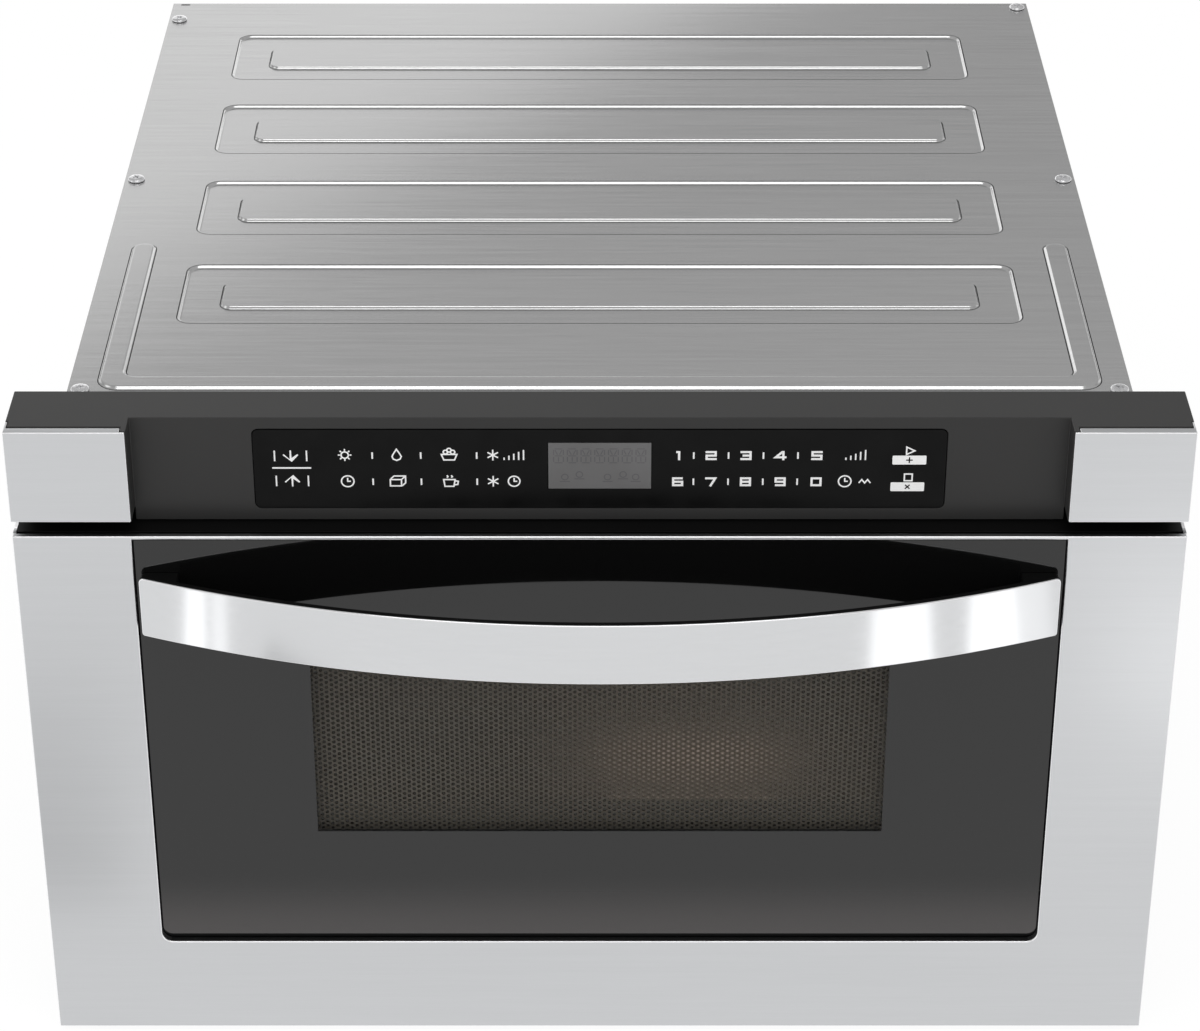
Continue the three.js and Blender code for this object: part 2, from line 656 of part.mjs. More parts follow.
// The U-shaped bead behind the trim, as the volume that is pushed up.
function beadVolume() {
  const outerX = cabinetHalf - BEAD_SIDE_MARGIN;
  const innerX = outerX - BEAD_WIDTH;
  const front = faceRear + BEAD_FRONT_MARGIN;
  const inner = front + BEAD_WIDTH;
  const rear = front + BEAD_ARM;
  const innerCorner = BEAD_CORNER / 2;
  const quarter = Math.PI / 2;
  const shape = new THREE.Shape();
  shape.absarc(outerX - BEAD_CORNER, front + BEAD_CORNER, BEAD_CORNER, -quarter, 0, false);
  shape.absarc(outerX - BEAD_WIDTH / 2, rear - BEAD_WIDTH / 2, BEAD_WIDTH / 2, 0, 2 * quarter, false);
  shape.absarc(innerX - innerCorner, inner + innerCorner, innerCorner, 0, -quarter, true);
  shape.absarc(innerCorner - innerX, inner + innerCorner, innerCorner, -quarter, -2 * quarter, true);
  shape.absarc(BEAD_WIDTH / 2 - outerX, rear - BEAD_WIDTH / 2, BEAD_WIDTH / 2, 0, 2 * quarter, false);
  shape.absarc(BEAD_CORNER - outerX, front + BEAD_CORNER, BEAD_CORNER, 2 * quarter, 3 * quarter, false);
  shape.closePath();
  return prism(shape, 'z', [cabinetTop, cabinetTop], {
    bevelEnabled: true,
    bevelSegments: 1,
    bevelThickness: PRESS_DEPTH,
    bevelSize: PRESS_SLOPE,
    bevelOffset: -PRESS_SLOPE,
  });
}

function makeTopCover() {
  const reach = [both(halfFront), [0, cabinetRear + THROUGH]];
  const halfSheet = CABINET_SHEET / 2;
  const above = block(...reach, [cabinetTop - halfSheet, cabinetTop + 2 * PRESS_DEPTH]);
  const below = block(...reach, [cabinetTop - 2 * PRESS_DEPTH, cabinetTop + halfSheet]);
  const underside = [0, 0, -CABINET_SHEET];
  let sheet = block(both(cabinetHalf), [cabinetFront, cabinetRear], [coverUnderside, cabinetTop]);
  for (let rib = 0; rib < RIB_COUNT; rib += 1) {
    const pressed = ribVolume(faceRear + RIB_FIRST + rib * RIB_PITCH);
    sheet = cut(join(sheet, pressed.intersect(below).translate(underside)), pressed);
  }
  const bead = beadVolume();
  sheet = cut(join(sheet, bead.intersect(above)), bead.translate(underside));
  return cut(sheet, ...screwHoles);
}

function makeScrew([x, y]) {
  const seat = cabinetTop + SEAT_GAP;
  const profile = [
    [0, seat - SCREW_LENGTH],
    [SCREW_SHANK_RADIUS, seat - SCREW_LENGTH + SCREW_SHANK_RADIUS],
    [SCREW_SHANK_RADIUS, seat],
    [SCREW_HEAD_RADIUS, seat],
    [SCREW_HEAD_RADIUS, seat + SCREW_EDGE_HEIGHT],
    [SCREW_CROWN_RADIUS, seat + SCREW_HEAD_HEIGHT],
    [0, seat + SCREW_HEAD_HEIGHT],
  ];
  const points = profile.map(([r, z]) => new THREE.Vector2(r, z));
  const lathe = new THREE.LatheGeometry(points, SHAFT_FACETS);
  lathe.rotateX(Math.PI / 2);
  lathe.translate(x, y, 0);
  return solidOf(lathe);
}

function flangeScrewHoles(sign) {
  const x = sign * (halfFront - FLANGE_SCREW_INSET);
  const span = [faceFront - THROUGH, faceRear + FLANGE_STRIP + THROUGH];
  return FLANGE_SCREW_HEIGHTS.map((z) => rod('y', [z, x], FLANGE_SCREW_RADIUS, span, HOLE_FACETS));
}

function makeMountingFlange(sign) {
  const inner = sign * (cabinetHalf + FLANGE_STRIP_MARGIN);
  const outer = sign * (faceHalf - FLANGE_STRIP_MARGIN);
  const front = faceRear + SEAT_GAP;
  const strip = block([inner, outer], [front, front + FLANGE_STRIP], [CABINET_DROP, cabinetTop]);
  return cut(strip, ...flangeScrewHoles(sign));
}

function makeFaceplate() {
  const through = [faceFront - THROUGH, faceRear + THROUGH];
  const top = trimTop - HOUSING_WALL - SEAT_GAP;
  const plate = block(both(faceHalf), [faceFront, faceRear], [SEAT_GAP, top]);
  const cavityMouth = frontPlate(both(cavityHalf), through, [cavityFloor, cavityCeiling], MOUTH_CORNER);
  const rackSlot = block(
    both(GEAR_FACE / 2 + CUTOUT_MARGIN),
    through,
    [rackTipZ - CUTOUT_MARGIN, rackTopZ + CUTOUT_MARGIN],
  );
  const tools = [cavityMouth, rackSlot];
  for (const sign of Object.values(SIDES)) {
    tools.push(
      block(
        [sign * (slideInnerX - CUTOUT_MARGIN / 2), sign * slideOuterX],
        through,
        around(SLIDE_CENTRE_HEIGHT, SLIDE_HEIGHT),
      ),
      block(
        around(sign * hookX, HOOK_THICKNESS + 2 * SWITCH_CHANNEL_MARGIN),
        through,
        switchChannel,
      ),
      ...flangeScrewHoles(sign),
    );
  }
  return cut(plate, ...tools);
}

place(cabinet, 'base_pan', makeBasePan(), zincSteel);
placePair(cabinet, 'side_panel', makeSidePanel, zincSteel);
place(cabinet, 'rear_panel', makeRearPanel(), zincSteel);
place(cabinet, 'top_cover', makeTopCover(), coverSteel);
place(cabinet, 'front_frame', makeFaceplate(), blackSteel);
placePair(cabinet, 'mounting_flange', makeMountingFlange, zincSteel);
screwPlaces.forEach((at, i) => place(cabinet, `cover_screw_${i + 1}`, makeScrew(at), zincScrew));

// ---------------------------------------------------------------------------------------------
// Control panel
// ---------------------------------------------------------------------------------------------

const capInner = halfFront - CAP_WIDTH;
const panelBottom = drawerTop + PANEL_CLEARANCE;
const panelRear = faceFront - SEAT_GAP;
const hollowFront = PANEL_RECESS + TOUCH_PANEL_THICKNESS + HOUSING_WALL;
const touchTop = trimTop - TOUCH_PANEL_DROP;
const touchBottom = touchTop - TOUCH_PANEL_HEIGHT;
const touchFront = PANEL_RECESS - TOUCH_PANEL_PROUD;
const displayTop = touchTop - DISPLAY_DROP;
const displaySpan = [displayTop - DISPLAY_HEIGHT, displayTop];
const boardFront = hollowFront + BOARD_STANDOFF;
const boardMiddle = (trimTop + trimBottom) / 2;

// The stainless cap on one end of the trim: a folded sheet with a top and a side return. As a
// cutter it is grown by a clearance and runs out past the trim's outside.
function capSheets(sign, clearance = 0, runOut = 0) {
  const sheet = CAP_SHEET + clearance;
  const outer = sign * (halfFront + runOut);
  const height = grow([trimBottom, trimTop], runOut);
  const front = block([sign * (capInner - clearance), outer], [-runOut, sheet], height);
  const top = block(
    [sign * (capInner + CAP_RETURN_NOTCH - clearance), outer],
    [-runOut, CAP_TOP_RETURN + clearance + (clearance > 0 ? CAP_GROOVE : 0)],
    [trimTop - sheet, trimTop + runOut],
  );
  const side = block(
    [sign * (halfFront - sheet), outer],
    [-runOut, CAP_SIDE_RETURN + clearance],
    height,
  );
  return join(front, top, side);
}

function makeHousing() {
  const ends = block(both(halfFront), [0, panelRear], [trimBottom, trimTop]);
  const middle = block(both(capInner - SEAT_GAP), [PANEL_RECESS, panelRear], [panelBottom, trimTop]);
  const lip = block(
    both(halfFront),
    [panelRear - WELD, faceRear + TRIM_LIP],
    [trimTop - HOUSING_WALL, trimTop],
  );
  const recess = block(both(capInner - SEAT_GAP), [-THROUGH, PANEL_RECESS], [0, trimTop + THROUGH]);
  const rearHollow = block(
    both(capInner - HOUSING_WALL),
    [hollowFront, panelRear + THROUGH],
    [panelBottom + HOUSING_WALL, trimTop - HOUSING_WALL],
  );
  const endHollows = Object.values(SIDES).map((sign) =>
    block(
      [sign * (capInner + HOUSING_WALL), sign * (halfFront - CAP_SHEET - HOUSING_WALL)],
      [CAP_SHEET + HOUSING_WALL, panelRear + THROUGH],
      [trimBottom + HOUSING_WALL, trimTop - CAP_SHEET - HOUSING_WALL],
    ),
  );
  const touchPocket = frontPlate(
    grow(both(TOUCH_PANEL_WIDTH / 2), SEAT_GAP),
    [0, touchFront + TOUCH_PANEL_THICKNESS + SEAT_GAP],
    grow([touchBottom, touchTop], SEAT_GAP),
    TOUCH_PANEL_CORNER + SEAT_GAP,
  );
  const displayHole = block(
    grow(both(DISPLAY_WIDTH / 2), SEAT_GAP),
    [0, panelRear],
    grow(displaySpan, SEAT_GAP),
  );
  const posts = [];
  for (const sign of Object.values(SIDES)) {
    for (const level of Object.values(SIDES)) {
      const x = sign * (BOARD_WIDTH / 2 - BOARD_MARGIN);
      const z = boardMiddle + level * (BOARD_HEIGHT / 2 - BOARD_MARGIN);
      const span = [hollowFront - WELD, boardFront - SEAT_GAP];
      posts.push(rod('y', [z, x], POST_RADIUS, span, HOLE_FACETS));
    }
  }
  const shell = cut(
    join(ends, middle, lip),
    recess,
    rearHollow,
    ...endHollows,
    touchPocket,
    ...Object.values(SIDES).map((sign) => capSheets(sign, SEAT_GAP, THROUGH)),
  );
  return cut(join(shell, ...posts), displayHole);
}

function makeTouchPanel() {
  const glass = frontPlate(
    both(TOUCH_PANEL_WIDTH / 2),
    [touchFront, touchFront + TOUCH_PANEL_THICKNESS],
    [touchBottom, touchTop],
    TOUCH_PANEL_CORNER,
  );
  const hole = block(grow(both(DISPLAY_WIDTH / 2), SEAT_GAP), [0, panelRear], grow(displaySpan, SEAT_GAP));
  return cut(glass, hole);
}

function makeControlBoard() {
  const rear = boardFront + BOARD_THICKNESS;
  const board = block(both(BOARD_WIDTH / 2), [boardFront, rear], around(boardMiddle, BOARD_HEIGHT));
  const relays = RELAY_PLACES.map((x) =>
    block(around(x, RELAY_WIDTH), [rear - WELD, rear + RELAY_HEIGHT], around(boardMiddle, RELAY_DEPTH)),
  );
  return join(board, ...relays);
}

place(cabinet, 'control_panel_housing', makeHousing(), trimPlastic);
placePair(cabinet, 'trim_cap', (sign) => capSheets(sign), brushedStainless);
place(cabinet, 'touch_panel', makeTouchPanel(), darkGlass);
place(
  cabinet,
  'display_lcd',
  block(both(DISPLAY_WIDTH / 2), [touchFront, touchFront + DISPLAY_DEPTH], displaySpan),
  displayGrey,
);
place(cabinet, 'control_board', makeControlBoard(), boardGreen);

// ---------------------------------------------------------------------------------------------
// Oven cavity, microwave feed and lamp
// ---------------------------------------------------------------------------------------------

const lampZ = cavityCeiling - LAMP_BELOW_CEILING;
const stirrerAxis = [0, stirrerY];
const feedSpan = [stirrerY + FEED_FROM_SHAFT, stirrerY + FEED_FROM_SHAFT + FEED_LENGTH];

function makeCavity() {
  const outer = block(
    both(cavityHalf + CAVITY_SHEET),
    [cabinetFront, bayFront],
    [cavityFloor - CAVITY_SHEET, cavityCeiling + CAVITY_SHEET],
  );
  const flange = block(
    both(cavityHalf + CAVITY_FLANGE),
    [cabinetFront, cabinetFront + CAVITY_SHEET],
    grow([cavityFloor, cavityCeiling], CAVITY_FLANGE),
  );
  const dome = rod(
    'z',
    stirrerAxis,
    DOME_RADIUS + CAVITY_SHEET,
    [cavityCeiling, domeTop + CAVITY_SHEET],
    DOME_FACETS,
  );
  const inside = block(both(cavityHalf), [cabinetFront - THROUGH, cavityRear], [cavityFloor, cavityCeiling]);
  const domeInside = rod('z', stirrerAxis, DOME_RADIUS, [cavityCeiling - THROUGH, domeTop], DOME_FACETS);
  const domeCut = grow([domeTop, domeTop], THROUGH);
  const shaft = rod('z', stirrerAxis, shaftHole, domeCut, HOLE_FACETS);
  const feed = block(both(FEED_WIDTH / 2), feedSpan, domeCut);
  const lampHole = rod('y', [lampZ, lampX], LAMP_RADIUS, [cavityRear - THROUGH, bayFront + THROUGH]);
  return cut(join(outer, flange, dome), inside, domeInside, shaft, feed, lampHole);
}

function makeWaveguide() {
  const half = WAVEGUIDE_WIDTH / 2;
  const front = stirrerY - WAVEGUIDE_FRONT;
  const rear = bayMiddle + MAGNETRON_DEPTH / 2;
  const tube = block(both(half), [front, rear], [waveguideBottom, waveguideTop]);
  const inside = block(
    both(half - CAVITY_SHEET),
    [front + CAVITY_SHEET, rear - CAVITY_SHEET],
    [waveguideBottom + CAVITY_SHEET, waveguideTop - CAVITY_SHEET],
  );
  const shaft = rod('z', stirrerAxis, shaftHole, grow([waveguideBottom, waveguideTop], THROUGH), HOLE_FACETS);
  const floorCut = grow([waveguideBottom, waveguideBottom], THROUGH);
  const feed = block(both(FEED_WIDTH / 2), feedSpan, floorCut);
  const antenna = rod('z', [0, bayMiddle], ANTENNA_RADIUS + CUTOUT_MARGIN, floorCut);
  return cut(tube, inside, shaft, feed, antenna);
}

function makeMagnetron() {
  const bottom = magnetronTop - MAGNETRON_PLATE - MAGNETRON_HEIGHT;
  const half = MAGNETRON_WIDTH / 2;
  const depth = around(bayMiddle, MAGNETRON_DEPTH);
  const yoke = block(both(half), depth, [bottom, magnetronTop]);
  const passage = block(
    [-half - THROUGH, half + THROUGH],
    grow(depth, -MAGNETRON_PLATE),
    [bottom + MAGNETRON_PLATE, magnetronTop - MAGNETRON_PLATE],
  );
  const axis = [0, bayMiddle];
  const anode = rod('z', axis, ANODE_RADIUS, [bottom + WELD, magnetronTop - WELD]);
  const antenna = rod('z', axis, ANTENNA_RADIUS, [magnetronTop - WELD, magnetronTop + ANTENNA_HEIGHT]);
  const filterBox = block(
    both(half - MAGNETRON_PLATE),
    grow(depth, -MAGNETRON_PLATE),
    [bottom - FILTER_BOX_HEIGHT, bottom + WELD],
  );
  const pitch = (MAGNETRON_HEIGHT - MAGNETRON_PLATE) / (MAGNETRON_FINS + 1);
  const fins = [];
  for (let i = 1; i <= MAGNETRON_FINS; i += 1) {
    const z = bottom + MAGNETRON_PLATE + i * pitch;
    fins.push(block(both(half - MAGNETRON_PLATE), grow(depth, -FIN_INSET), around(z, FIN_THICKNESS)));
  }
  return join(cut(yoke, passage), anode, antenna, filterBox, ...fins);
}

function makeStirrerMotor() {
  const bottom = waveguideTop + SEAT_GAP;
  const body = rod('z', stirrerAxis, STIRRER_MOTOR_RADIUS, [bottom, bottom + STIRRER_MOTOR_HEIGHT]);
  const ears = block(
    both(STIRRER_MOTOR_RADIUS + STIRRER_EAR_REACH),
    around(stirrerY, STIRRER_EAR_WIDTH),
    [bottom, bottom + CABINET_SHEET],
  );
  const boreSpan = [bottom - THROUGH, bottom + STIRRER_MOTOR_BORE];
  const bore = rod('z', stirrerAxis, SHAFT_RADIUS + SEAT_GAP, boreSpan, SHAFT_FACETS);
  return cut(join(body, ears), bore);
}

function makeStirrer() {
  const middle = cavityCeiling + DOME_HEIGHT / 2;
  const shaftTop = waveguideTop + SEAT_GAP + STIRRER_MOTOR_BORE - SHAFT_END_GAP;
  const parts = [
    rod('z', [0, 0], SHAFT_RADIUS, [middle, shaftTop], SHAFT_FACETS),
    rod('z', [0, 0], STIRRER_HUB, around(middle, STIRRER_HUB_HEIGHT), SHAFT_FACETS),
  ];
  for (let i = 0; i < STIRRER_VANES; i += 1) {
    const vane = new THREE.BoxGeometry(STIRRER_RADIUS - STIRRER_HUB / 2, STIRRER_BLADE, CAVITY_SHEET);
    vane.rotateX(THREE.MathUtils.degToRad(STIRRER_TILT));
    vane.translate((STIRRER_RADIUS + STIRRER_HUB / 2) / 2, 0, middle);
    vane.rotateZ((i * 2 * Math.PI) / STIRRER_VANES);
    parts.push(solidOf(vane));
  }
  return join(...parts).translate([0, stirrerY, 0]);
}

function makeLampSocket() {
  const front = bayFront + LAMP_LENGTH;
  const body = block(around(lampX, SOCKET_SIZE), [front, front + SOCKET_DEPTH], around(lampZ, SOCKET_SIZE));
  const legs = Object.values(SIDES).map((sign) =>
    block(
      around(lampX + (sign * (SOCKET_SIZE - CABINET_SHEET)) / 2, CABINET_SHEET),
      [bayFront + SEAT_GAP, front + WELD],
      around(lampZ, SOCKET_SIZE),
    ),
  );
  const bore = rod('y', [lampZ, lampX], LAMP_RADIUS / 2 + SEAT_GAP, [front - THROUGH, front + LAMP_RADIUS]);
  return cut(join(body, ...legs), bore);
}

function makeLamp() {
  const front = bayFront + SEAT_GAP;
  const neck = bayFront + LAMP_LENGTH - LAMP_RADIUS / 2;
  const profile = new THREE.Path();
  profile.moveTo(0, front);
  profile.absarc(0, front + LAMP_RADIUS, LAMP_RADIUS, -Math.PI / 2, Math.PI / 6, false);
  profile.lineTo(LAMP_RADIUS / 2, neck);
  profile.lineTo(LAMP_RADIUS / 2, neck + LAMP_RADIUS);
  profile.lineTo(0, neck + LAMP_RADIUS);
  const lathe = new THREE.LatheGeometry(profile.getPoints(CORNER_FACETS), SHAFT_FACETS);
  lathe.translate(lampX, 0, lampZ);
  return solidOf(lathe);
}

place(cabinet, 'oven_cavity', makeCavity(), cavityPaint);
place(cabinet, 'waveguide', makeWaveguide(), zincSteel);
place(cabinet, 'magnetron', makeMagnetron(), aluminium);
place(cabinet, 'stirrer_motor', makeStirrerMotor(), zincSteel);
place(
  cabinet,
  'stirrer_cover',
  rod(
    'z',
    stirrerAxis,
    DOME_RADIUS + STIRRER_COVER_LAP,
    [cavityCeiling - SEAT_GAP - STIRRER_COVER, cavityCeiling - SEAT_GAP],
    DOME_FACETS,
  ),
  micaSheet,
);
place(cabinet, 'lamp_socket', makeLampSocket(), whitePlastic);
place(cabinet, 'oven_lamp', makeLamp(), clearGlass);
place(drive, 'stirrer', makeStirrer(), aluminium);

// ---------------------------------------------------------------------------------------------
// Rear bay: transformer, capacitor, cooling fan and power inlet
// ---------------------------------------------------------------------------------------------

function makeTransformer() {
  const depth = around(bayMiddle, TRANSFORMER_DEPTH);
  const height = [bayFloor, bayFloor + TRANSFORMER_HEIGHT];
  const core = block(around(transformerX, TRANSFORMER_WIDTH), depth, height);
  const coils = Object.values(SIDES).map((level) =>
    frontPlate(
      around(transformerX, TRANSFORMER_WIDTH - 2 * CORE_WINDOW),
      grow(depth, COIL_STAND_OUT),
      around(bayFloor + (TRANSFORMER_HEIGHT + level * COIL_SPACING) / 2, COIL_HEIGHT),
      COIL_CORNER,
    ),
  );
  return join(core, ...coils);
}

function makeCapacitor() {
  const outline = roundedRectangle(
    around(capacitorX, CAPACITOR_WIDTH),
    around(bayMiddle, CAPACITOR_DEPTH),
    CAPACITOR_CORNER,
  );
  const top = bayFloor + CAPACITOR_LENGTH;
  const can = prism(outline, 'z', [bayFloor, top]);
  const [width, thickness, length] = TERMINAL_SIZE;
  const terminals = Object.values(SIDES).map((sign) =>
    block(
      around(capacitorX + (sign * TERMINAL_SPACING) / 2, width),
      around(bayMiddle, thickness),
      [top - WELD, top + length],
    ),
  );
  return join(can, ...terminals);
}

const fanRadius = (bayRear - bayFront) / 2 - FAN_BAY_CLEARANCE;
const fanAxis = [bayMiddle, magnetronMiddle];
const fanOpening = fanRadius + FAN_TIP_CLEARANCE;
const motorFront = FAN_X + SHROUD_PLATE + MOTOR_STANDOFF;
const standoffReach = fanOpening + POST_RADIUS + CUTOUT_MARGIN;

function makeShroud() {
  const top = magnetronMiddle + fanOpening + SHROUD_HEAD;
  const plate = block(
    [FAN_X, FAN_X + SHROUD_PLATE],
    around(bayMiddle, 2 * (fanOpening + SHROUD_RIM)),
    [bayFloor, top],
  );
  const foot = block(
    [FAN_X, FAN_X + SHROUD_FOOT],
    around(bayMiddle, 2 * (fanOpening + SHROUD_RIM)),
    [bayFloor, bayFloor + SHROUD_PLATE],
  );
  const opening = rod('x', fanAxis, fanOpening, [FAN_X - THROUGH, FAN_X + THROUGH], DOME_FACETS);
  return cut(join(plate, foot), opening);
}

function makeFanMotor() {
  const stack = block(
    [motorFront, motorFront + MOTOR_STACK],
    around(bayMiddle, MOTOR_WIDTH),
    around(magnetronMiddle, MOTOR_HEIGHT),
  );
  const bar = block(
    [motorFront - MOTOR_BAR, motorFront + WELD],
    around(bayMiddle, MOTOR_BAR_WIDTH),
    around(magnetronMiddle, 2 * (standoffReach + POST_RADIUS)),
  );
  const posts = Object.values(SIDES).map((level) =>
    rod(
      'x',
      [bayMiddle, magnetronMiddle + level * standoffReach],
      POST_RADIUS,
      [FAN_X + SHROUD_PLATE + SEAT_GAP, motorFront],
      HOLE_FACETS,
    ),
  );
  const boreSpan = [motorFront - THROUGH, motorFront + MOTOR_STACK / 2];
  const bore = rod('x', fanAxis, SHAFT_RADIUS + SEAT_GAP, boreSpan, SHAFT_FACETS);
  return cut(join(stack, bar, ...posts), bore);
}

function makeFanBlade() {
  const middle = FAN_X + SHROUD_PLATE / 2;
  const hubRear = middle + FAN_DEPTH / 2 - MOTOR_BAR - CUTOUT_MARGIN;
  const shaftEnd = motorFront + MOTOR_STACK / 2 - SHAFT_END_GAP;
  const root = FAN_HUB / 2;
  const tip = fanRadius - PADDLE_TIP_INSET;
  const parts = [
    rod('x', [0, 0], FAN_HUB, [middle - FAN_DEPTH / 2, hubRear], SHAFT_FACETS),
    rod('x', [0, 0], SHAFT_RADIUS, [middle, shaftEnd], SHAFT_FACETS),
  ];
  for (let i = 0; i < FAN_BLADES; i += 1) {
    const paddle = new THREE.BoxGeometry(PADDLE_THICKNESS, PADDLE_CHORD, tip - root);
    paddle.rotateZ(THREE.MathUtils.degToRad(FAN_TILT));
    paddle.translate(middle - PADDLE_SHIFT, 0, (tip + root) / 2);
    paddle.rotateX((i * 2 * Math.PI) / FAN_BLADES);
    parts.push(solidOf(paddle));
  }
  return join(...parts).translate([0, ...fanAxis]);
}

function makePowerInlet() {
  const inner = bayRear - SEAT_GAP;
  const outer = cabinetRear + SEAT_GAP;
  const body = INLET_RADIUS - SEAT_GAP;
  const profile = [
    [INLET_BORE, inner - INLET_NUT],
    [INLET_FLANGE, inner - INLET_NUT],
    [INLET_FLANGE, inner],
    [body, inner],
    [body, outer],
    [INLET_FLANGE, outer],
    [INLET_FLANGE, outer + INLET_STAND_OUT / 2],
    [INLET_COLLAR, outer + INLET_STAND_OUT],
    [INLET_BORE, outer + INLET_STAND_OUT],
    [INLET_BORE, inner - INLET_NUT],
  ];
  const points = profile.map(([r, y]) => new THREE.Vector2(r, y));
  const lathe = new THREE.LatheGeometry(points, ROUND_FACETS);
  lathe.translate(inletX, 0, INLET_Z);
  return solidOf(lathe);
}

place(cabinet, 'hv_transformer', makeTransformer(), coreSteel);
place(cabinet, 'hv_capacitor', makeCapacitor(), aluminium);
place(cabinet, 'fan_shroud', makeShroud(), zincSteel);
place(cabinet, 'fan_motor', makeFanMotor(), coreSteel);
place(cabinet, 'power_inlet', makePowerInlet(), blackPlastic);
place(drive, 'fan_blade', makeFanBlade(), whitePlastic);

// ---------------------------------------------------------------------------------------------
// Telescopic slides
// ---------------------------------------------------------------------------------------------

// Level 0 is fixed to the cabinet, 1 is the middle member and 2 is fixed to the drawer.
function slideMember(sign, level, from, length) {
  const outer = slideOuterX - level * slideStep;
  const half = SLIDE_HEIGHT / 2 - level * slideStep;
  const [low, high] = [SLIDE_CENTRE_HEIGHT - half, SLIDE_CENTRE_HEIGHT + half];
  const outline = [
    [outer, low],
    [outer, high],
    [slideInnerX, high],
    [slideInnerX, high - SLIDE_SHEET],
    [outer - SLIDE_SHEET, high - SLIDE_SHEET],
    [outer - SLIDE_SHEET, low + SLIDE_SHEET],
    [slideInnerX, low + SLIDE_SHEET],
    [slideInnerX, low],
  ];
  return prism(polygon(outline.map(([x, z]) => [z, sign * x])), 'y', [from, from + length]);
}

function makeInnerSlide(sign) {
  const outer = slideOuterX - 2 * slideStep;
  const tab = block(
    [sign * (outer - RAIL_TAB_WIDTH), sign * outer],
    [fittingFront, fittingRear],
    around(SLIDE_CENTRE_HEIGHT, SLIDE_HEIGHT - 4 * slideStep),
  );
  return join(slideMember(sign, 2, fittingFront, INNER_SLIDE_LENGTH), tab);
}

placePair(
  cabinet,
  'outer_rail',
  (sign) => slideMember(sign, 0, slideFront, OUTER_SLIDE_LENGTH),
  zincSteel,
);
placePair(
  drive,
  'mid_rail',
  (sign) => slideMember(sign, 1, slideFront, MIDDLE_SLIDE_LENGTH),
  zincSteel,
);
placePair(drawer, 'inner_rail', makeInnerSlide, zincSteel);

// ---------------------------------------------------------------------------------------------
// Rack, pinion and drive motor
// ---------------------------------------------------------------------------------------------

const involute = (angle) => Math.tan(angle) - angle;

// One pinion tooth's flank as [radius, half angle] pairs, root to tip.
function pinionFlank() {
  const pressure = THREE.MathUtils.degToRad(PRESSURE_ANGLE);
  const baseRadius = pitchRadius * Math.cos(pressure);
  const rootRadius = pitchRadius - PINION_DEDENDUM;
  const halfAtPitch = (toothPitch / 2 - BACKLASH / 2) / (2 * pitchRadius);
  const halfAngle = (radius) => {
    const local = Math.acos(Math.min(1, baseRadius / radius));
    return halfAtPitch + involute(pressure) - involute(local);
  };
  const radii = [rootRadius, baseRadius];
  for (let i = 1; i <= CORNER_FACETS; i += 1) {
    radii.push(baseRadius + ((pinionTipRadius - baseRadius) * i) / CORNER_FACETS);
  }
  return radii.map((radius) => [radius, halfAngle(Math.max(radius, baseRadius))]);
}

function makePinion() {
  const flank = pinionFlank();
  const points = [];
  for (let tooth = 0; tooth < PINION_TEETH; tooth += 1) {
    const middle = Math.PI / 2 + (tooth * 2 * Math.PI) / PINION_TEETH;
    const rising = flank.map(([r, half]) => [r, middle - half]);
    const falling = flank.map(([r, half]) => [r, middle + half]).reverse();
    for (const [r, angle] of [...rising, ...falling]) {
      points.push([r * Math.cos(angle), r * Math.sin(angle)]);
    }
  }
  const gear = prism(polygon(points), 'x', both(GEAR_FACE / 2));
  const shaft = rod('x', [0, 0], PINION_SHAFT_RADIUS, [0, pinionShaftEnd], SHAFT_FACETS);
  return join(gear, shaft).translate([0, pinionY, pinionZ]);
}

// The rack's teeth point down. At rest a gap between two teeth stands over the pinion's axis.
function makeRack() {
  const lean = Math.tan(THREE.MathUtils.degToRad(PRESSURE_ANGLE));
  const halfAtPitch = toothPitch / 4 - BACKLASH / 4;
  const halfTip = halfAtPitch - RACK_ADDENDUM * lean;
  const halfRoot = halfAtPitch + RACK_DEDENDUM * lean;
  const rear = pinionY + DRAWER_TRAVEL + RACK_SPARE;
  const firstTooth = pinionY - toothPitch / 2 - RACK_LEAD * toothPitch;
  const toothCount = Math.floor((rear - firstTooth) / toothPitch);
  const points = [[fittingFront, rackRootZ]];
  for (let i = 0; i < toothCount; i += 1) {
    const y = firstTooth + i * toothPitch;
    points.push([y - halfRoot, rackRootZ], [y - halfTip, rackTipZ]);
    points.push([y + halfTip, rackTipZ], [y + halfRoot, rackRootZ]);
  }
  points.push([rear, rackRootZ], [rear, rackTopZ], [fittingFront, rackTopZ]);
  const bar = prism(polygon(points), 'x', both(GEAR_FACE / 2));
  const flangeMiddle = (rackTipZ + rackTopZ) / 2;
  const flange = block(
    both(RACK_FLANGE_WIDTH / 2),
    [fittingFront, fittingRear],
    around(flangeMiddle, RACK_FLANGE_HEIGHT),
  );
  return join(bar, flange);
}

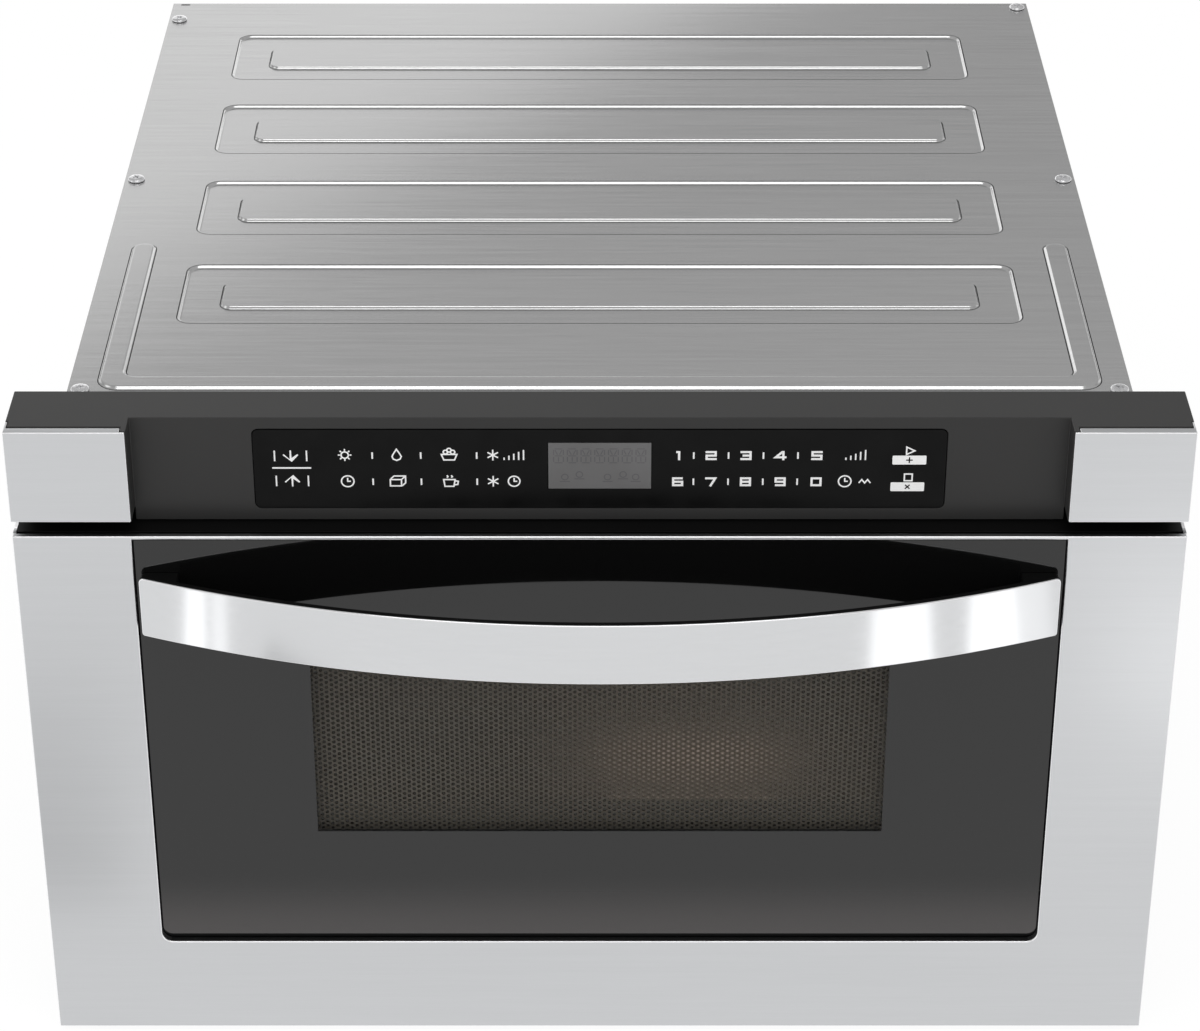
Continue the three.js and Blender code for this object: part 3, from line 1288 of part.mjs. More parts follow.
function makeDriveMotor() {
  const inner = GEAR_FACE / 2 + CUTOUT_MARGIN;
  const outer = inner + GEARBOX_WIDTH;
  const front = pinionY - pinionTipRadius - CUTOUT_MARGIN;
  const top = pinionZ + pinionTipRadius + GEARBOX_TOP_CLEARANCE;
  const rear = front + GEARBOX_DEPTH;
  const gearbox = block([inner, outer], [front, rear], [bayFloor, top]);
  const canAxis = [rear - DRIVE_MOTOR_RADIUS, pinionZ];
  const can = rod('x', canAxis, DRIVE_MOTOR_RADIUS, [outer - WELD, outer + DRIVE_MOTOR_LENGTH]);
  const foot = block(
    [inner, outer + MOTOR_FOOT_REACH],
    [front, rear],
    [bayFloor, bayFloor + MOTOR_FOOT_THICKNESS],
  );
  const bore = rod(
    'x',
    [pinionY, pinionZ],
    PINION_SHAFT_RADIUS + SEAT_GAP,
    [inner - THROUGH, pinionShaftEnd + SHAFT_END_GAP],
    SHAFT_FACETS,
  );
  return cut(join(gearbox, can, foot), bore);
}

place(cabinet, 'drive_motor', makeDriveMotor(), coreSteel);
place(drive, 'drive_pinion', makePinion(), whitePlastic);
place(drawer, 'rack_gear', makeRack(), whitePlastic);

// ---------------------------------------------------------------------------------------------
// Interlock: hooks on the drawer, switches in the cabinet
// ---------------------------------------------------------------------------------------------

function makeHook(sign) {
  const outline = [
    [fittingFront, hookLow],
    [hookTip - HOOK_NOSE, hookLow],
    [hookTip, hookLow + HOOK_NOSE],
    [hookTip - HOOK_NOSE / 2, hookHigh + HOOK_NOSE],
    [hookTip - HOOK_NOSE, hookHigh + HOOK_NOSE],
    [hookTip - HOOK_NOSE, hookHigh],
    [fittingFront, hookHigh],
  ];
  const hook = prism(polygon(outline), 'x', around(sign * hookX, HOOK_THICKNESS));
  const plate = block(
    around(sign * hookX, HOOK_PLATE_WIDTH),
    [fittingFront, fittingRear],
    around(hookZ, HOOK_PLATE_HEIGHT),
  );
  return join(hook, plate);
}

function makeInterlock(sign) {
  const x = sign * hookX;
  const body = block(
    around(x, SWITCH_WIDTH),
    [cabinetFront, cabinetFront + SWITCH_DEPTH],
    grow(switchChannel, SWITCH_WALL),
  );
  const channel = block(
    around(x, HOOK_THICKNESS + 2 * SWITCH_CHANNEL_MARGIN),
    [cabinetFront - THROUGH, hookTip + SWITCH_CHANNEL_MARGIN],
    switchChannel,
  );
  const microswitch = block(
    [x - sign * (SWITCH_WIDTH / 2 - WELD), x - sign * (SWITCH_WIDTH / 2 + MICROSWITCH_THICKNESS)],
    [cabinetFront + SWITCH_WALL, cabinetFront + SWITCH_DEPTH - SWITCH_WALL],
    [hookLow, hookHigh + HOOK_NOSE],
  );
  return join(cut(body, channel), microswitch);
}

placePair(drawer, 'latch_hook', makeHook, whitePlastic);
placePair(cabinet, 'interlock_switch', makeInterlock, whitePlastic);

// ---------------------------------------------------------------------------------------------
// Drawer front
// ---------------------------------------------------------------------------------------------

const frameInside = halfFront - FRAME_SHEET;
const carrierHalf = frameInside - SEAT_GAP;
const carrierBottom = FRAME_SHEET + SEAT_GAP;
const carrierFront = FRAME_SHEET + SEAT_GAP;
const glassSeat = glassRear + SEAT_GAP;
const screenFront = glassSeat + CARRIER_FRONT_WALL + SEAT_GAP;
const tunnelHalf = windowHalf + SCREEN_LAP;
const tunnelSpan = grow([windowBottom, windowTop], SCREEN_LAP);
const lipOuterHalf = openingHalf + FRAME_SHEET;
const lipOuterBottom = BOTTOM_RAIL_HEIGHT - FRAME_SHEET;
const throughDoor = [-THROUGH, doorRear + THROUGH];

function studHoles(radius) {
  return Object.values(SIDES).map((sign) =>
    rod('y', [handleZ, sign * studX], radius, [-THROUGH, carrierRear + THROUGH], SHAFT_FACETS),
  );
}

// The stainless skin: a folded sheet with a large opening, side and bottom returns, a short top
// return and a lip round the opening.
function makeFrame() {
  const shell = block(both(halfFront), [0, carrierRear], [0, drawerTop]);
  const behind = block(
    both(frameInside),
    [FRAME_SHEET, carrierRear + THROUGH],
    [FRAME_SHEET, drawerTop - FRAME_SHEET],
  );
  const shortTop = block(
    both(frameInside),
    [FRAME_TOP_RETURN, carrierRear + THROUGH],
    [drawerTop - 2 * FRAME_SHEET, drawerTop + THROUGH],
  );
  const lipOuter = roundFootPlate(
    both(lipOuterHalf),
    [0, FRAME_LIP],
    [lipOuterBottom, drawerTop - FRAME_SHEET / 2],
    OPENING_CORNER + FRAME_SHEET,
  );
  const opening = roundFootPlate(
    both(openingHalf),
    throughDoor,
    [BOTTOM_RAIL_HEIGHT, openingTop],
    OPENING_CORNER,
  );
  const lipTop = roundFootPlate(
    both(openingHalf),
    [FRAME_SHEET, FRAME_LIP + THROUGH],
    [BOTTOM_RAIL_HEIGHT, drawerTop - FRAME_SHEET],
    OPENING_CORNER,
  );
  return cut(join(cut(shell, behind, shortTop), lipOuter), opening, lipTop);
}

function makeGlass() {
  const pane = roundFootPlate(
    both(glassHalf),
    [GLASS_SET_BACK, glassRear],
    [glassBottom, glassTop],
    GLASS_CORNER,
  );
  return cut(pane, ...studHoles(STUD_RADIUS + SEAT_GAP));
}

function makeCarrier() {
  const body = block(
    both(carrierHalf),
    [carrierFront, carrierRear],
    [carrierBottom, drawerTop - FRAME_SHEET - SEAT_GAP],
  );
  const head = block(
    both(carrierHalf),
    [FRAME_TOP_RETURN + SEAT_GAP, carrierRear],
    [drawerTop - 2 * FRAME_SHEET - SEAT_GAP, drawerTop],
  );
  const glassPocket = block(
    both(lipOuterHalf + SEAT_GAP),
    [-THROUGH, glassSeat],
    [lipOuterBottom - SEAT_GAP, drawerTop + THROUGH],
  );
  const rearHollow = block(
    both(carrierHalf - CARRIER_EDGE_WALL),
    [glassSeat + CARRIER_FRONT_WALL, carrierRear + THROUGH],
    [carrierBottom + CARRIER_EDGE_WALL, drawerTop - CARRIER_EDGE_WALL],
  );
  const tunnelWall = block(
    both(tunnelHalf + SEAT_GAP + TUNNEL_WALL),
    [glassSeat + WELD, carrierRear],
    grow(tunnelSpan, SEAT_GAP + TUNNEL_WALL),
  );
  const tunnel = block(
    both(tunnelHalf + SEAT_GAP),
    [glassSeat + CARRIER_FRONT_WALL, carrierRear + THROUGH],
    grow(tunnelSpan, SEAT_GAP),
  );
  const window = block(both(windowHalf), throughDoor, [windowBottom, windowTop]);
  const bosses = Object.values(SIDES).map((sign) =>
    rod('y', [handleZ, sign * studX], STUD_RADIUS * 2, [glassSeat + WELD, carrierRear], HOLE_FACETS),
  );
  const shell = cut(join(body, head), glassPocket, rearHollow);
  return cut(join(shell, tunnelWall, ...bosses), tunnel, window, ...studHoles(STUD_RADIUS + SEAT_GAP));
}

function makeInnerPanel() {
  const panel = block(
    both(carrierHalf - INNER_PANEL_INSET),
    [innerPanelFront, doorRear],
    [carrierBottom + INNER_PANEL_INSET, drawerTop - INNER_PANEL_INSET],
  );
  return cut(panel, block(both(windowHalf), throughDoor, [windowBottom, windowTop]));
}

function makeChokeCover() {
  const ring = block(
    both(tubHalf + CHOKE_WIDTH),
    [fittingFront, fittingRear],
    [tubBottom - CHOKE_BOTTOM, tubTop + CHOKE_WIDTH],
  );
  const tubHole = block(
    both(tubHalf + TUB_RIM + SEAT_GAP),
    throughDoor,
    grow([tubBottom, tubTop], SEAT_GAP),
  );
  return cut(ring, tubHole);
}

place(drawer, 'drawer_frame', makeFrame(), brushedStainless);
place(drawer, 'drawer_glass', makeGlass(), darkGlass);
place(drawer, 'door_carrier', makeCarrier(), blackPlastic);
place(
  drawer,
  'window_screen',
  block(both(tunnelHalf), [screenFront, screenFront + SCREEN_THICKNESS], tunnelSpan),
  zincSteel,
);
place(
  drawer,
  'inner_window',
  block(both(tunnelHalf), [carrierRear - INNER_WINDOW_THICKNESS, carrierRear], tunnelSpan),
  clearGlass,
);
place(drawer, 'door_inner_panel', makeInnerPanel(), zincSteel);
place(drawer, 'choke_cover', makeChokeCover(), chokeGrey);

// ---------------------------------------------------------------------------------------------
// Drawer tub and its tray
// ---------------------------------------------------------------------------------------------

function tubOutline(half, front, rear, radius) {
  const shape = new THREE.Shape();
  shape.moveTo(-half, front);
  shape.lineTo(half, front);
  shape.absarc(half - radius, rear - radius, radius, 0, Math.PI / 2, false);
  shape.absarc(radius - half, rear - radius, radius, Math.PI / 2, Math.PI, false);
  shape.closePath();
  return shape;
}

function makeTub() {
  const shell = prism(tubOutline(tubHalf, fittingFront, tubRear, TUB_CORNER), 'z', [tubBottom, tubTop]);
  const rim = prism(
    tubOutline(tubHalf + TUB_RIM, fittingRear, tubRear + TUB_RIM, TUB_CORNER + TUB_RIM),
    'z',
    [tubTop - TUB_SHEET, tubTop],
  );
  const inside = prism(
    tubOutline(tubHalf - TUB_SHEET, fittingFront + TUB_SHEET, tubRear - TUB_SHEET, TUB_CORNER - TUB_SHEET),
    'z',
    [tubBottom + TUB_SHEET, tubTop + THROUGH],
  );
  const window = block(both(windowHalf), [0, fittingRear + THROUGH], [windowBottom, windowTop]);
  return cut(join(shell, rim), inside, window);
}

function makeTray() {
  const bottom = tubBottom + TUB_SHEET + SEAT_GAP;
  const outline = tubOutline(
    tubHalf - TUB_SHEET - TRAY_SIDE_CLEARANCE,
    fittingFront + TUB_SHEET + TRAY_SIDE_CLEARANCE,
    tubRear - TUB_SHEET - TRAY_SIDE_CLEARANCE,
    TUB_CORNER - TUB_SHEET,
  );
  return prism(outline, 'z', [bottom, bottom + TRAY_THICKNESS]);
}

place(drawer, 'drawer_tub', makeTub(), stainlessTub);
place(drawer, 'ceramic_tray', makeTray(), ceramic);

// ---------------------------------------------------------------------------------------------
// Handle
// ---------------------------------------------------------------------------------------------

// One face of the bow seen from above, at a distance in front of the feet's seat.
function handleArc(offset, half = handleHalf) {
  const radius = (handleHalf * handleHalf + HANDLE_BOW * HANDLE_BOW) / (2 * HANDLE_BOW);
  const reach = Math.asin(half / radius);
  const points = [];
  for (let i = 0; i <= HANDLE_STEPS; i += 1) {
    const angle = -reach + (2 * reach * i) / HANDLE_STEPS;
    const bow = radius * Math.cos(angle) - (radius - HANDLE_BOW);
    points.push([radius * Math.sin(angle), handleBack - offset - bow]);
  }
  return points;
}

// The flat bar, with a foot behind each end that is held by a stud.
function makeHandleBar() {
  const footInner = handleHalf - HANDLE_PAD;
  const plan = [
    [-handleHalf, handleBack],
    [-footInner, handleBack],
    ...handleArc(HANDLE_STAND_OFF, footInner),
    [footInner, handleBack],
    [handleHalf, handleBack],
    ...handleArc(HANDLE_STAND_OFF + HANDLE_BAR).reverse(),
  ];
  const bar = prism(polygon(plan), 'z', around(handleZ, HANDLE_HEIGHT));
  const studSpan = [handleBack - WELD, handleBack + STUD_LENGTH];
  const studs = Object.values(SIDES).map((sign) =>
    rod('y', [handleZ, sign * studX], STUD_RADIUS, studSpan, SHAFT_FACETS),
  );
  return join(bar, ...studs);
}

function makeHandleSkin() {
  const back = HANDLE_STAND_OFF + HANDLE_BAR + SEAT_GAP;
  const plan = [...handleArc(back), ...handleArc(back + HANDLE_SKIN).reverse()];
  return prism(polygon(plan), 'z', around(handleZ, HANDLE_HEIGHT));
}

place(drawer, 'handle_bar', makeHandleBar(), blackSteel);
place(drawer, 'handle_cover', makeHandleSkin(), brushedStainless);

// ---------------------------------------------------------------------------------------------
// Origin: bottom centre of the whole unit's box
// ---------------------------------------------------------------------------------------------

const handleThickness = HANDLE_STAND_OFF + HANDLE_BAR + SEAT_GAP + HANDLE_SKIN;
const frontmost = handleBack - handleThickness - HANDLE_BOW;
const rearmost = cabinetRear + SEAT_GAP + INLET_STAND_OUT;
unit.position.set(0, -(frontmost + rearmost) / 2, -baseBottom);
unit.updateMatrixWorld(true);

export default unit;
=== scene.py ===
# %% [markdown]
# # A microwave drawer, dressed for its portrait
#
# The drawer is already built as solids: every sheet, rail, gear and pane is in its place and
# moves on its own joint. This lesson loads them as a fixed frame and gives them their looks.
# Where the real piece has folds, pressed ribs, holes or rounded edges, a new piece is modelled
# over the solid and takes its place.

# %% Load the frame
import json
import math

import bmesh
import bpy
from mathutils import Matrix, Quaternion, Vector

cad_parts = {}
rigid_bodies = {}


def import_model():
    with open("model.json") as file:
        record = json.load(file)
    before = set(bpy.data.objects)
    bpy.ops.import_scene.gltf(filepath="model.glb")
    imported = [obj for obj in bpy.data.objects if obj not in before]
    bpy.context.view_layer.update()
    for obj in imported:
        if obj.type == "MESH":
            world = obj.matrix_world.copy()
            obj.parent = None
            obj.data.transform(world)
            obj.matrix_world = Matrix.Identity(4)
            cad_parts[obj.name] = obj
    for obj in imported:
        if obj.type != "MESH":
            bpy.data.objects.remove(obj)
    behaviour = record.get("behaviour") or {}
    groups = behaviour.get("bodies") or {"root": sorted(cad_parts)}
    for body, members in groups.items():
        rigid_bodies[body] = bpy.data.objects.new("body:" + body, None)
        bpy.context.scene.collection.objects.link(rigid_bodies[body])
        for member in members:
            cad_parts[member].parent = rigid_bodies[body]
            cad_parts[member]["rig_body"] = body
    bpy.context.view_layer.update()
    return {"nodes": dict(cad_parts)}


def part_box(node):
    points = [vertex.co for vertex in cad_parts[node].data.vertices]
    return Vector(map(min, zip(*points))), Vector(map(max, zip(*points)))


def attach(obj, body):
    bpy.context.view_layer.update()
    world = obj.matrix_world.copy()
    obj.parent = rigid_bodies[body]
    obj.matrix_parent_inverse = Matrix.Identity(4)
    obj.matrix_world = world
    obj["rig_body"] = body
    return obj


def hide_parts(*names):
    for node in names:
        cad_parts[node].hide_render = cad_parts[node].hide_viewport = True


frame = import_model()
nodes = frame["nodes"]
print("solids in the frame:", len(nodes))

# %% [markdown]
# ## Sizes
#
# Millimetres keep the numbers readable, so each mesh is built in them and scaled once when it
# becomes an object. The new pieces take their places from the frame's own boxes.

# %% Millimetres and node boxes
MM = 0.001


def box_mm(node):
    """The lowest and highest corner of a solid, in millimetres."""
    low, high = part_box(node)
    return low / MM, high / MM


FRONT_PLANE = box_mm("drawer_frame")[0].y
print("front plane at y =", round(FRONT_PLANE, 2), "mm")

# %% [markdown]
# ## Camera
#
# The photograph looks down on the drawer from straight in front, about thirty degrees above
# the level. A long lens keeps the sides nearly parallel. The camera looks along its own -Z
# axis, so a turn about X tips it from straight down towards the horizon.

# %% Place the camera
scene = bpy.context.scene
camera_data = bpy.data.cameras.new("portrait_camera")
camera_data.lens = 105.13
camera_data.sensor_fit = "HORIZONTAL"
camera_data.sensor_width = 36.0
camera_data.clip_end = 100.0
camera = bpy.data.objects.new("portrait_camera", camera_data)
camera.location = (0.00012, -1.82232, 1.24655)
camera.rotation_euler = (math.radians(59.59), 0.0, 0.0)
scene.collection.objects.link(camera)
scene.camera = camera
scene.view_settings.view_transform = "Standard"
print("camera lens:", camera_data.lens, "mm")

# %% [markdown]
# ## Shader maths as Python expressions
#
# Node trees are easier to read as formulas. A Wire wraps one output socket, and adding or
# multiplying Wires adds the Math nodes. A Recipe owns one node tree, and its method node makes
# every other node from a type, its settings, and the values or Wires of its sockets.

# %% Wires and recipes
finishes = {}


def rgba(colour):
    """A colour with alpha, from three numbers or one grey. A Wire stays what it is."""
    if isinstance(colour, Wire):
        return colour
    if isinstance(colour, (int, float)):
        colour = (colour, colour, colour)
    return (*colour, 1.0)


def inside(value, middle, half):
    """1 where the value is within half of the middle."""
    return abs(value - middle) < half


class Wire:
    """One output socket of a node, with arithmetic."""

    def __init__(self, recipe, socket):
        self.recipe = recipe
        self.socket = socket

    def also(self, title):
        """Another output of the same node."""
        return Wire(self.recipe, self.socket.node.outputs[title])

    def math(self, operation, *values):
        inputs = dict(enumerate(values))
        return self.recipe.node("ShaderNodeMath", {"operation": operation}, inputs)

    def __add__(self, other):
        return self.math("ADD", self, other)

    def __sub__(self, other):
        return self.math("SUBTRACT", self, other)

    def __rsub__(self, other):
        return self.math("SUBTRACT", other, self)

    def __mul__(self, other):
        return self.math("MULTIPLY", self, other)

    def __abs__(self):
        return self.math("ABSOLUTE", self)

    def __lt__(self, other):
        return self.math("LESS_THAN", self, other)


class Recipe:
    """A node tree that is written as formulas."""

    def __init__(self, tree):
        self.tree = tree

    def plug(self, socket, value):
        if isinstance(value, Wire):
            self.tree.links.new(value.socket, socket)
        else:
            socket.default_value = value

    def node(self, kind, settings=None, inputs=None, output=0):
        made = self.tree.nodes.new(kind)
        settings = dict(settings or {})
        stops = settings.pop("stops", [])
        for name, value in settings.items():
            setattr(made, name, value)
        for index, (place, colour) in enumerate(stops):
            if index < 2:
                stop = made.color_ramp.elements[index]
                stop.position = place
            else:
                stop = made.color_ramp.elements.new(place)
            stop.color = colour
        for name, value in (inputs or {}).items():
            self.plug(made.inputs[name], value)
        return Wire(self, made.outputs[output])

    def place(self, stretch=(1.0, 1.0, 1.0), turn=(0.0, 0.0, 0.0)):
        """The point's place on the object, in metres, stretched as asked."""
        point = self.node("ShaderNodeTexCoord", output="Object")
        inputs = {"Vector": point, "Scale": stretch, "Rotation": turn}
        return self.node("ShaderNodeMapping", None, inputs)

    def parts(self, title):
        """The X, Y and Z of a texture coordinate."""
        point = self.node("ShaderNodeTexCoord", output=title)
        x = self.node("ShaderNodeSeparateXYZ", None, {"Vector": point}, output="X")
        return x, x.also("Y"), x.also("Z")

    def shown(self):
        """1 for rays that show a background: straight, mirrored or through glass."""
        straight = self.node("ShaderNodeLightPath", output="Is Camera Ray")
        total = straight + straight.also("Is Glossy Ray") + straight.also("Is Transmission Ray")
        return total.math("MINIMUM", total, 1.0)

    def noise(self, scale, detail=2.0, roughness=0.5, **place):
        inputs = {
            "Vector": self.place(**place),
            "Scale": scale,
            "Detail": detail,
            "Roughness": roughness,
        }
        return self.node("ShaderNodeTexNoise", None, inputs)

    def flakes(self, scale):
        """One random grey for each cell of a Voronoi pattern."""
        inputs = {"Vector": self.place(), "Scale": scale}
        cell = self.node("ShaderNodeTexVoronoi", None, inputs, output="Color")
        return self.node("ShaderNodeSeparateXYZ", None, {"Vector": cell})

    def remap(self, value, low=0.0, high=1.0, start=0.3, end=0.7, kind="LINEAR"):
        """A value moved to low..high, by default from 0.3..0.7, where most of a noise lies."""
        inputs = {"Value": value, "From Min": start, "From Max": end, "To Min": low, "To Max": high}
        return self.node("ShaderNodeMapRange", {"interpolation_type": kind}, inputs)

    def mix(self, factor, first, second):
        """Two colours mixed by a factor."""
        inputs = {0: factor, 6: rgba(first), 7: rgba(second)}
        return self.node("ShaderNodeMix", {"data_type": "RGBA"}, inputs, output=2)

    def bump(self, height, depth):
        """A surface normal from a height, with the full height in metres."""
        inputs = {"Height": height, "Distance": depth, "Strength": 1.0}
        return self.node("ShaderNodeBump", None, inputs)


class Finish(Recipe):
    """A material with one Principled shader, kept under its name."""

    def __init__(self, name, **sockets):
        self.material = bpy.data.materials.new(name)
        self.material.use_nodes = True
        super().__init__(self.material.node_tree)
        self.shader = self.tree.nodes["Principled BSDF"]
        self.set(**sockets)
        finishes[name] = self.material

    def set(self, **sockets):
        """Socket names in words with underscores, so base_color feeds Base Color."""
        special = {"ior": "IOR", "specular": "Specular IOR Level"}
        for name, value in sockets.items():
            title = special.get(name, name.replace("_", " ").title())
            value = rgba(value) if isinstance(value, tuple) else value
            self.plug(self.shader.inputs[title], value)


print("node helpers ready")

# %% [markdown]
# ## Light
#
# The picture is a studio product shot on white. Brushed steel has no colour of its own and
# shows the room, so the room matters more than the lamps: a white horizon, and a dull grey
# ceiling that the top cover mirrors. A long white card behind the drawer gives the pale patch
# on the cover's rear left, a softbox high in front catches the pressed edges, and a small
# warm lamp glows behind the window.

# %% The room
UP = (0.0, 0.16, 0.32, 0.43, 0.48, 0.75, 1.0)
GREY = (1.0, 1.0, 0.42, 0.45, 0.57, 0.57, 0.5)
world = bpy.data.worlds.new("studio_room")
world.use_nodes = True
world.node_tree.nodes.clear()
scene.world = world
room = Recipe(world.node_tree)
stops = [(height, rgba(grey)) for height, grey in zip(UP, GREY)]
ceiling = room.node("ShaderNodeValToRGB", {"stops": stops}, {"Fac": room.parts("Generated")[2]})
background = room.node("ShaderNodeBackground", None, {"Color": ceiling, "Strength": 1.0})
fill = room.node("ShaderNodeBackground", None, {"Color": rgba(1.0), "Strength": 0.62})
sky = room.node("ShaderNodeMixShader", None, {0: room.shown(), 1: fill, 2: background})
world_output = world.node_tree.nodes.new("ShaderNodeOutputWorld")
room.plug(world_output.inputs["Surface"], sky)
print("world nodes:", len(world.node_tree.nodes))

# %% Lamps and cards
WHITE = (1.0, 1.0, 1.0)
EMBER = (1.0, 0.74, 0.58)


def area_lamp(name, place, aim, size, radiance, gloss_only=False, colour=WHITE, roll=0.0):
    """A rectangular lamp. The radiance is how bright it looks in a mirror."""
    lamp = bpy.data.lights.new(name, "AREA")
    lamp.shape = "RECTANGLE"
    lamp.size, lamp.size_y = size
    lamp.energy = radiance * math.pi * size[0] * size[1]
    lamp.color = colour
    holder = bpy.data.objects.new(name, lamp)
    holder.location = place
    towards = Vector(aim) - Vector(place)
    rolled = Quaternion((0.0, 0.0, 1.0), math.radians(roll))
    holder.rotation_euler = (towards.to_track_quat("-Z", "Y") @ rolled).to_euler()
    holder.visible_camera = False
    holder.visible_diffuse = not gloss_only
    scene.collection.objects.link(holder)
    return holder


area_lamp("key_softbox", (0.0, -1.15, 2.15), (0.0, -0.1, 0.35), (1.5, 0.8), 2.3)
area_lamp("side_softbox", (-1.7, -0.6, 1.2), (0.0, 0.0, 0.3), (0.8, 0.8), 0.9)
area_lamp("rear_card", (-0.27, 0.9, 0.53), (-0.27, 0.0, 0.53), (1.05, 0.5), 0.52, True, roll=29.0)
glow_place = (0.055, -0.108, 0.108)
area_lamp("cavity_glow", glow_place, (0.055, -0.108, 0.0), (0.10, 0.02), 1.9, colour=EMBER)
print("lamps:", len(bpy.data.lights))

# %% [markdown]
# The bowed handle mirrors a slice of the floor in front of it. A narrow card that lies there
# and faces up gives one upright band of light, as wide as the card.

# %% Cards on the floor
CARD_LENGTH = 0.17
CARD_HEIGHT = 0.02
FLOOR_CARDS = [
    (-0.517, -0.580, 48.4, 0.028, 0.8),
    (-0.487, -0.599, 50.1, 0.019, 0.55),
    (0.390, -0.650, -59.0, 0.083, 0.7),
    (0.503, -0.5886, -49.5, 0.068, 0.75),
    (0.551, -0.556, -45.6, 0.046, 0.3),
]
for number, (x, y, turn, width, radiance) in enumerate(FLOOR_CARDS, 1):
    place, size = (x, y, CARD_HEIGHT), (CARD_LENGTH, width)
    card = area_lamp(f"floor_card_{number}", place, (x, y, 1.0), size, radiance, True)
    card.rotation_euler = (math.pi, 0.0, math.radians(turn))
print("floor cards:", len(FLOOR_CARDS))

# %% [markdown]
# The floor is a plain white sheet. To the camera and in mirrors most of it is an even white,
# and the rest is real shading, so the drawer still has a soft shadow to stand in. Mirrors
# alone also see a light grey sheet that lies before the frame's left upright and dulls it.

# %% The floor
floor_bm = bmesh.new()
bmesh.ops.create_grid(floor_bm, x_segments=1, y_segments=1, size=8.0)
floor_mesh = bpy.data.meshes.new("studio_floor")
floor_bm.to_mesh(floor_mesh)
floor_bm.free()
floor = bpy.data.objects.new("studio_floor", floor_mesh)
scene.collection.objects.link(floor)

paper = Finish("studio_paper", base_color=(0.86, 0.86, 0.86), roughness=0.9, specular=0.1)
across, along, _ = paper.parts("Object")
before_upright = inside(across - along * 0.163, -0.272, 0.058) * inside(along, -0.52, 0.125)
grey_sheet = before_upright * paper.node("ShaderNodeLightPath", output="Is Glossy Ray")
white = {"Color": 1.0 - grey_sheet * 0.3, "Strength": 1.08}
even_white = paper.node("ShaderNodeEmission", None, white)
shaded = Wire(paper, paper.shader.outputs[0])
evenness = paper.shown() * 0.84
sheet = paper.node("ShaderNodeMixShader", None, {0: evenness, 1: shaded, 2: even_white})
paper.plug(paper.tree.nodes["Material Output"].inputs["Surface"], sheet)
floor_mesh.materials.append(paper.material)
print("floor covers", floor.dimensions.x, "by", floor.dimensions.y, "m")

# %% [markdown]
# ## Finishes
#
# ### Brushed steel
#
# Brushing leaves scratches a fraction of a millimetre wide and some centimetres long. A noise
# that is stretched along X does the same, and it drives three things at once: a faint change
# of colour, a change of roughness, and a bump that spreads reflections across the grain.
#
# The folds carry a painted highlight: there the brushed colour gives way to a flat pale one. A
# fold is where the surface faces neither straight ahead nor straight up, down or sideways, so
# its normal picks it out.

# %% Brushed steels
def painted_fold_highlight(made):
    """Mask of the painted highlight: 1 on folds and rounded edges, 0 on flat faces and on a gentle
    bow.
    """
    across, _, up = made.parts("Normal")
    return across.math("MAXIMUM", inside(abs(across), 0.71, 0.26), inside(abs(up), 0.56, 0.41))


def shades(colour, darker, lighter):
    """A colour times two factors, as the ends of a change of tone."""
    return tuple(c * darker for c in colour), tuple(min(1.0, c * lighter) for c in colour)


def brushed(name, colour, roughness, contrast=0.06, depth=0.000012, spread=0.05, fold_highlight=None):
    """A steel that is brushed along X. Its folds can take a painted highlight in another colour."""
    made = Finish(name, metallic=1.0)
    fine = made.noise(1.0, 3.0, 0.6, stretch=(28.0, 2100.0, 2100.0))
    coarse = made.noise(1.0, 2.0, 0.5, stretch=(6.0, 420.0, 420.0))
    cloud = made.noise(5.0, 2.0, 0.5)
    grain = fine * 0.6 + coarse * 0.4
    tone = made.remap(grain * 0.85 + cloud * 0.15)
    metal = made.mix(tone, *shades(colour, 1.0 - contrast, 1.0 + contrast))
    # Painted highlight: folds and rounded edges take a pale colour instead of the brushed tone.
    if fold_highlight:
        metal = made.mix(painted_fold_highlight(made), metal, fold_highlight)
    made.set(
        base_color=metal,
        roughness=made.remap(grain, roughness - spread, roughness + spread),
        normal=made.bump(grain, depth),
    )


# Colour of the painted highlight on folds and rounded edges.
FOLD_HIGHLIGHT = (0.95, 0.95, 0.96)
brushed("brushed_stainless", (0.592, 0.600, 0.612), 0.30, 0.028, 0.000003, 0.015, FOLD_HIGHLIGHT)
brushed("handle_steel", (0.645, 0.652, 0.663), 0.11, 0.02, 0.000002, 0.02, FOLD_HIGHLIGHT)
brushed("cover_steel", (0.56, 0.56, 0.56), 0.21, 0.08, 0.000015, 0.04)
brushed("tub_steel", (0.50, 0.50, 0.50), 0.36, 0.05)
brushed("aluminium", (0.72, 0.72, 0.73), 0.38, 0.04)
print("finishes with the brushed ones:", len(finishes))

# %% [markdown]
# ### Zinc-coated sheet
#
# Galvanised sheet shows flat crystals a few millimetres wide, each a slightly different grey.
# A Voronoi texture gives every crystal its own random colour, and only a little of it is used.

# %% Zinc sheet and screws
def zinc(name, colour, roughness, crystal):
    """A zinc coat with crystals of a size in metres."""
    made = Finish(name, metallic=1.0)
    grey = made.flakes(1.0 / crystal)
    haze = made.noise(9.0, 3.0)
    made.set(
        base_color=made.mix(made.remap(grey * 0.4 + haze * 0.6), *shades(colour, 0.88, 1.1)),
        roughness=made.remap(grey * 0.5 + haze * 0.5, roughness - 0.07, roughness + 0.07),
        normal=made.bump(made.noise(900.0, 2.0), 0.000006),
    )


zinc("zinc_steel", (0.50, 0.51, 0.52), 0.40, 0.006)
zinc("zinc_screw", (0.74, 0.74, 0.75), 0.24, 0.002)
print("finishes with zinc:", len(finishes))

# %% [markdown]
# ### Paint, plastic and powder coat
#
# These are all one coloured coat with a fine texture. Powder coat has a soft orange peel of
# about a millimetre, moulded plastic a finer etched grain, and enamel a sparse speckle.

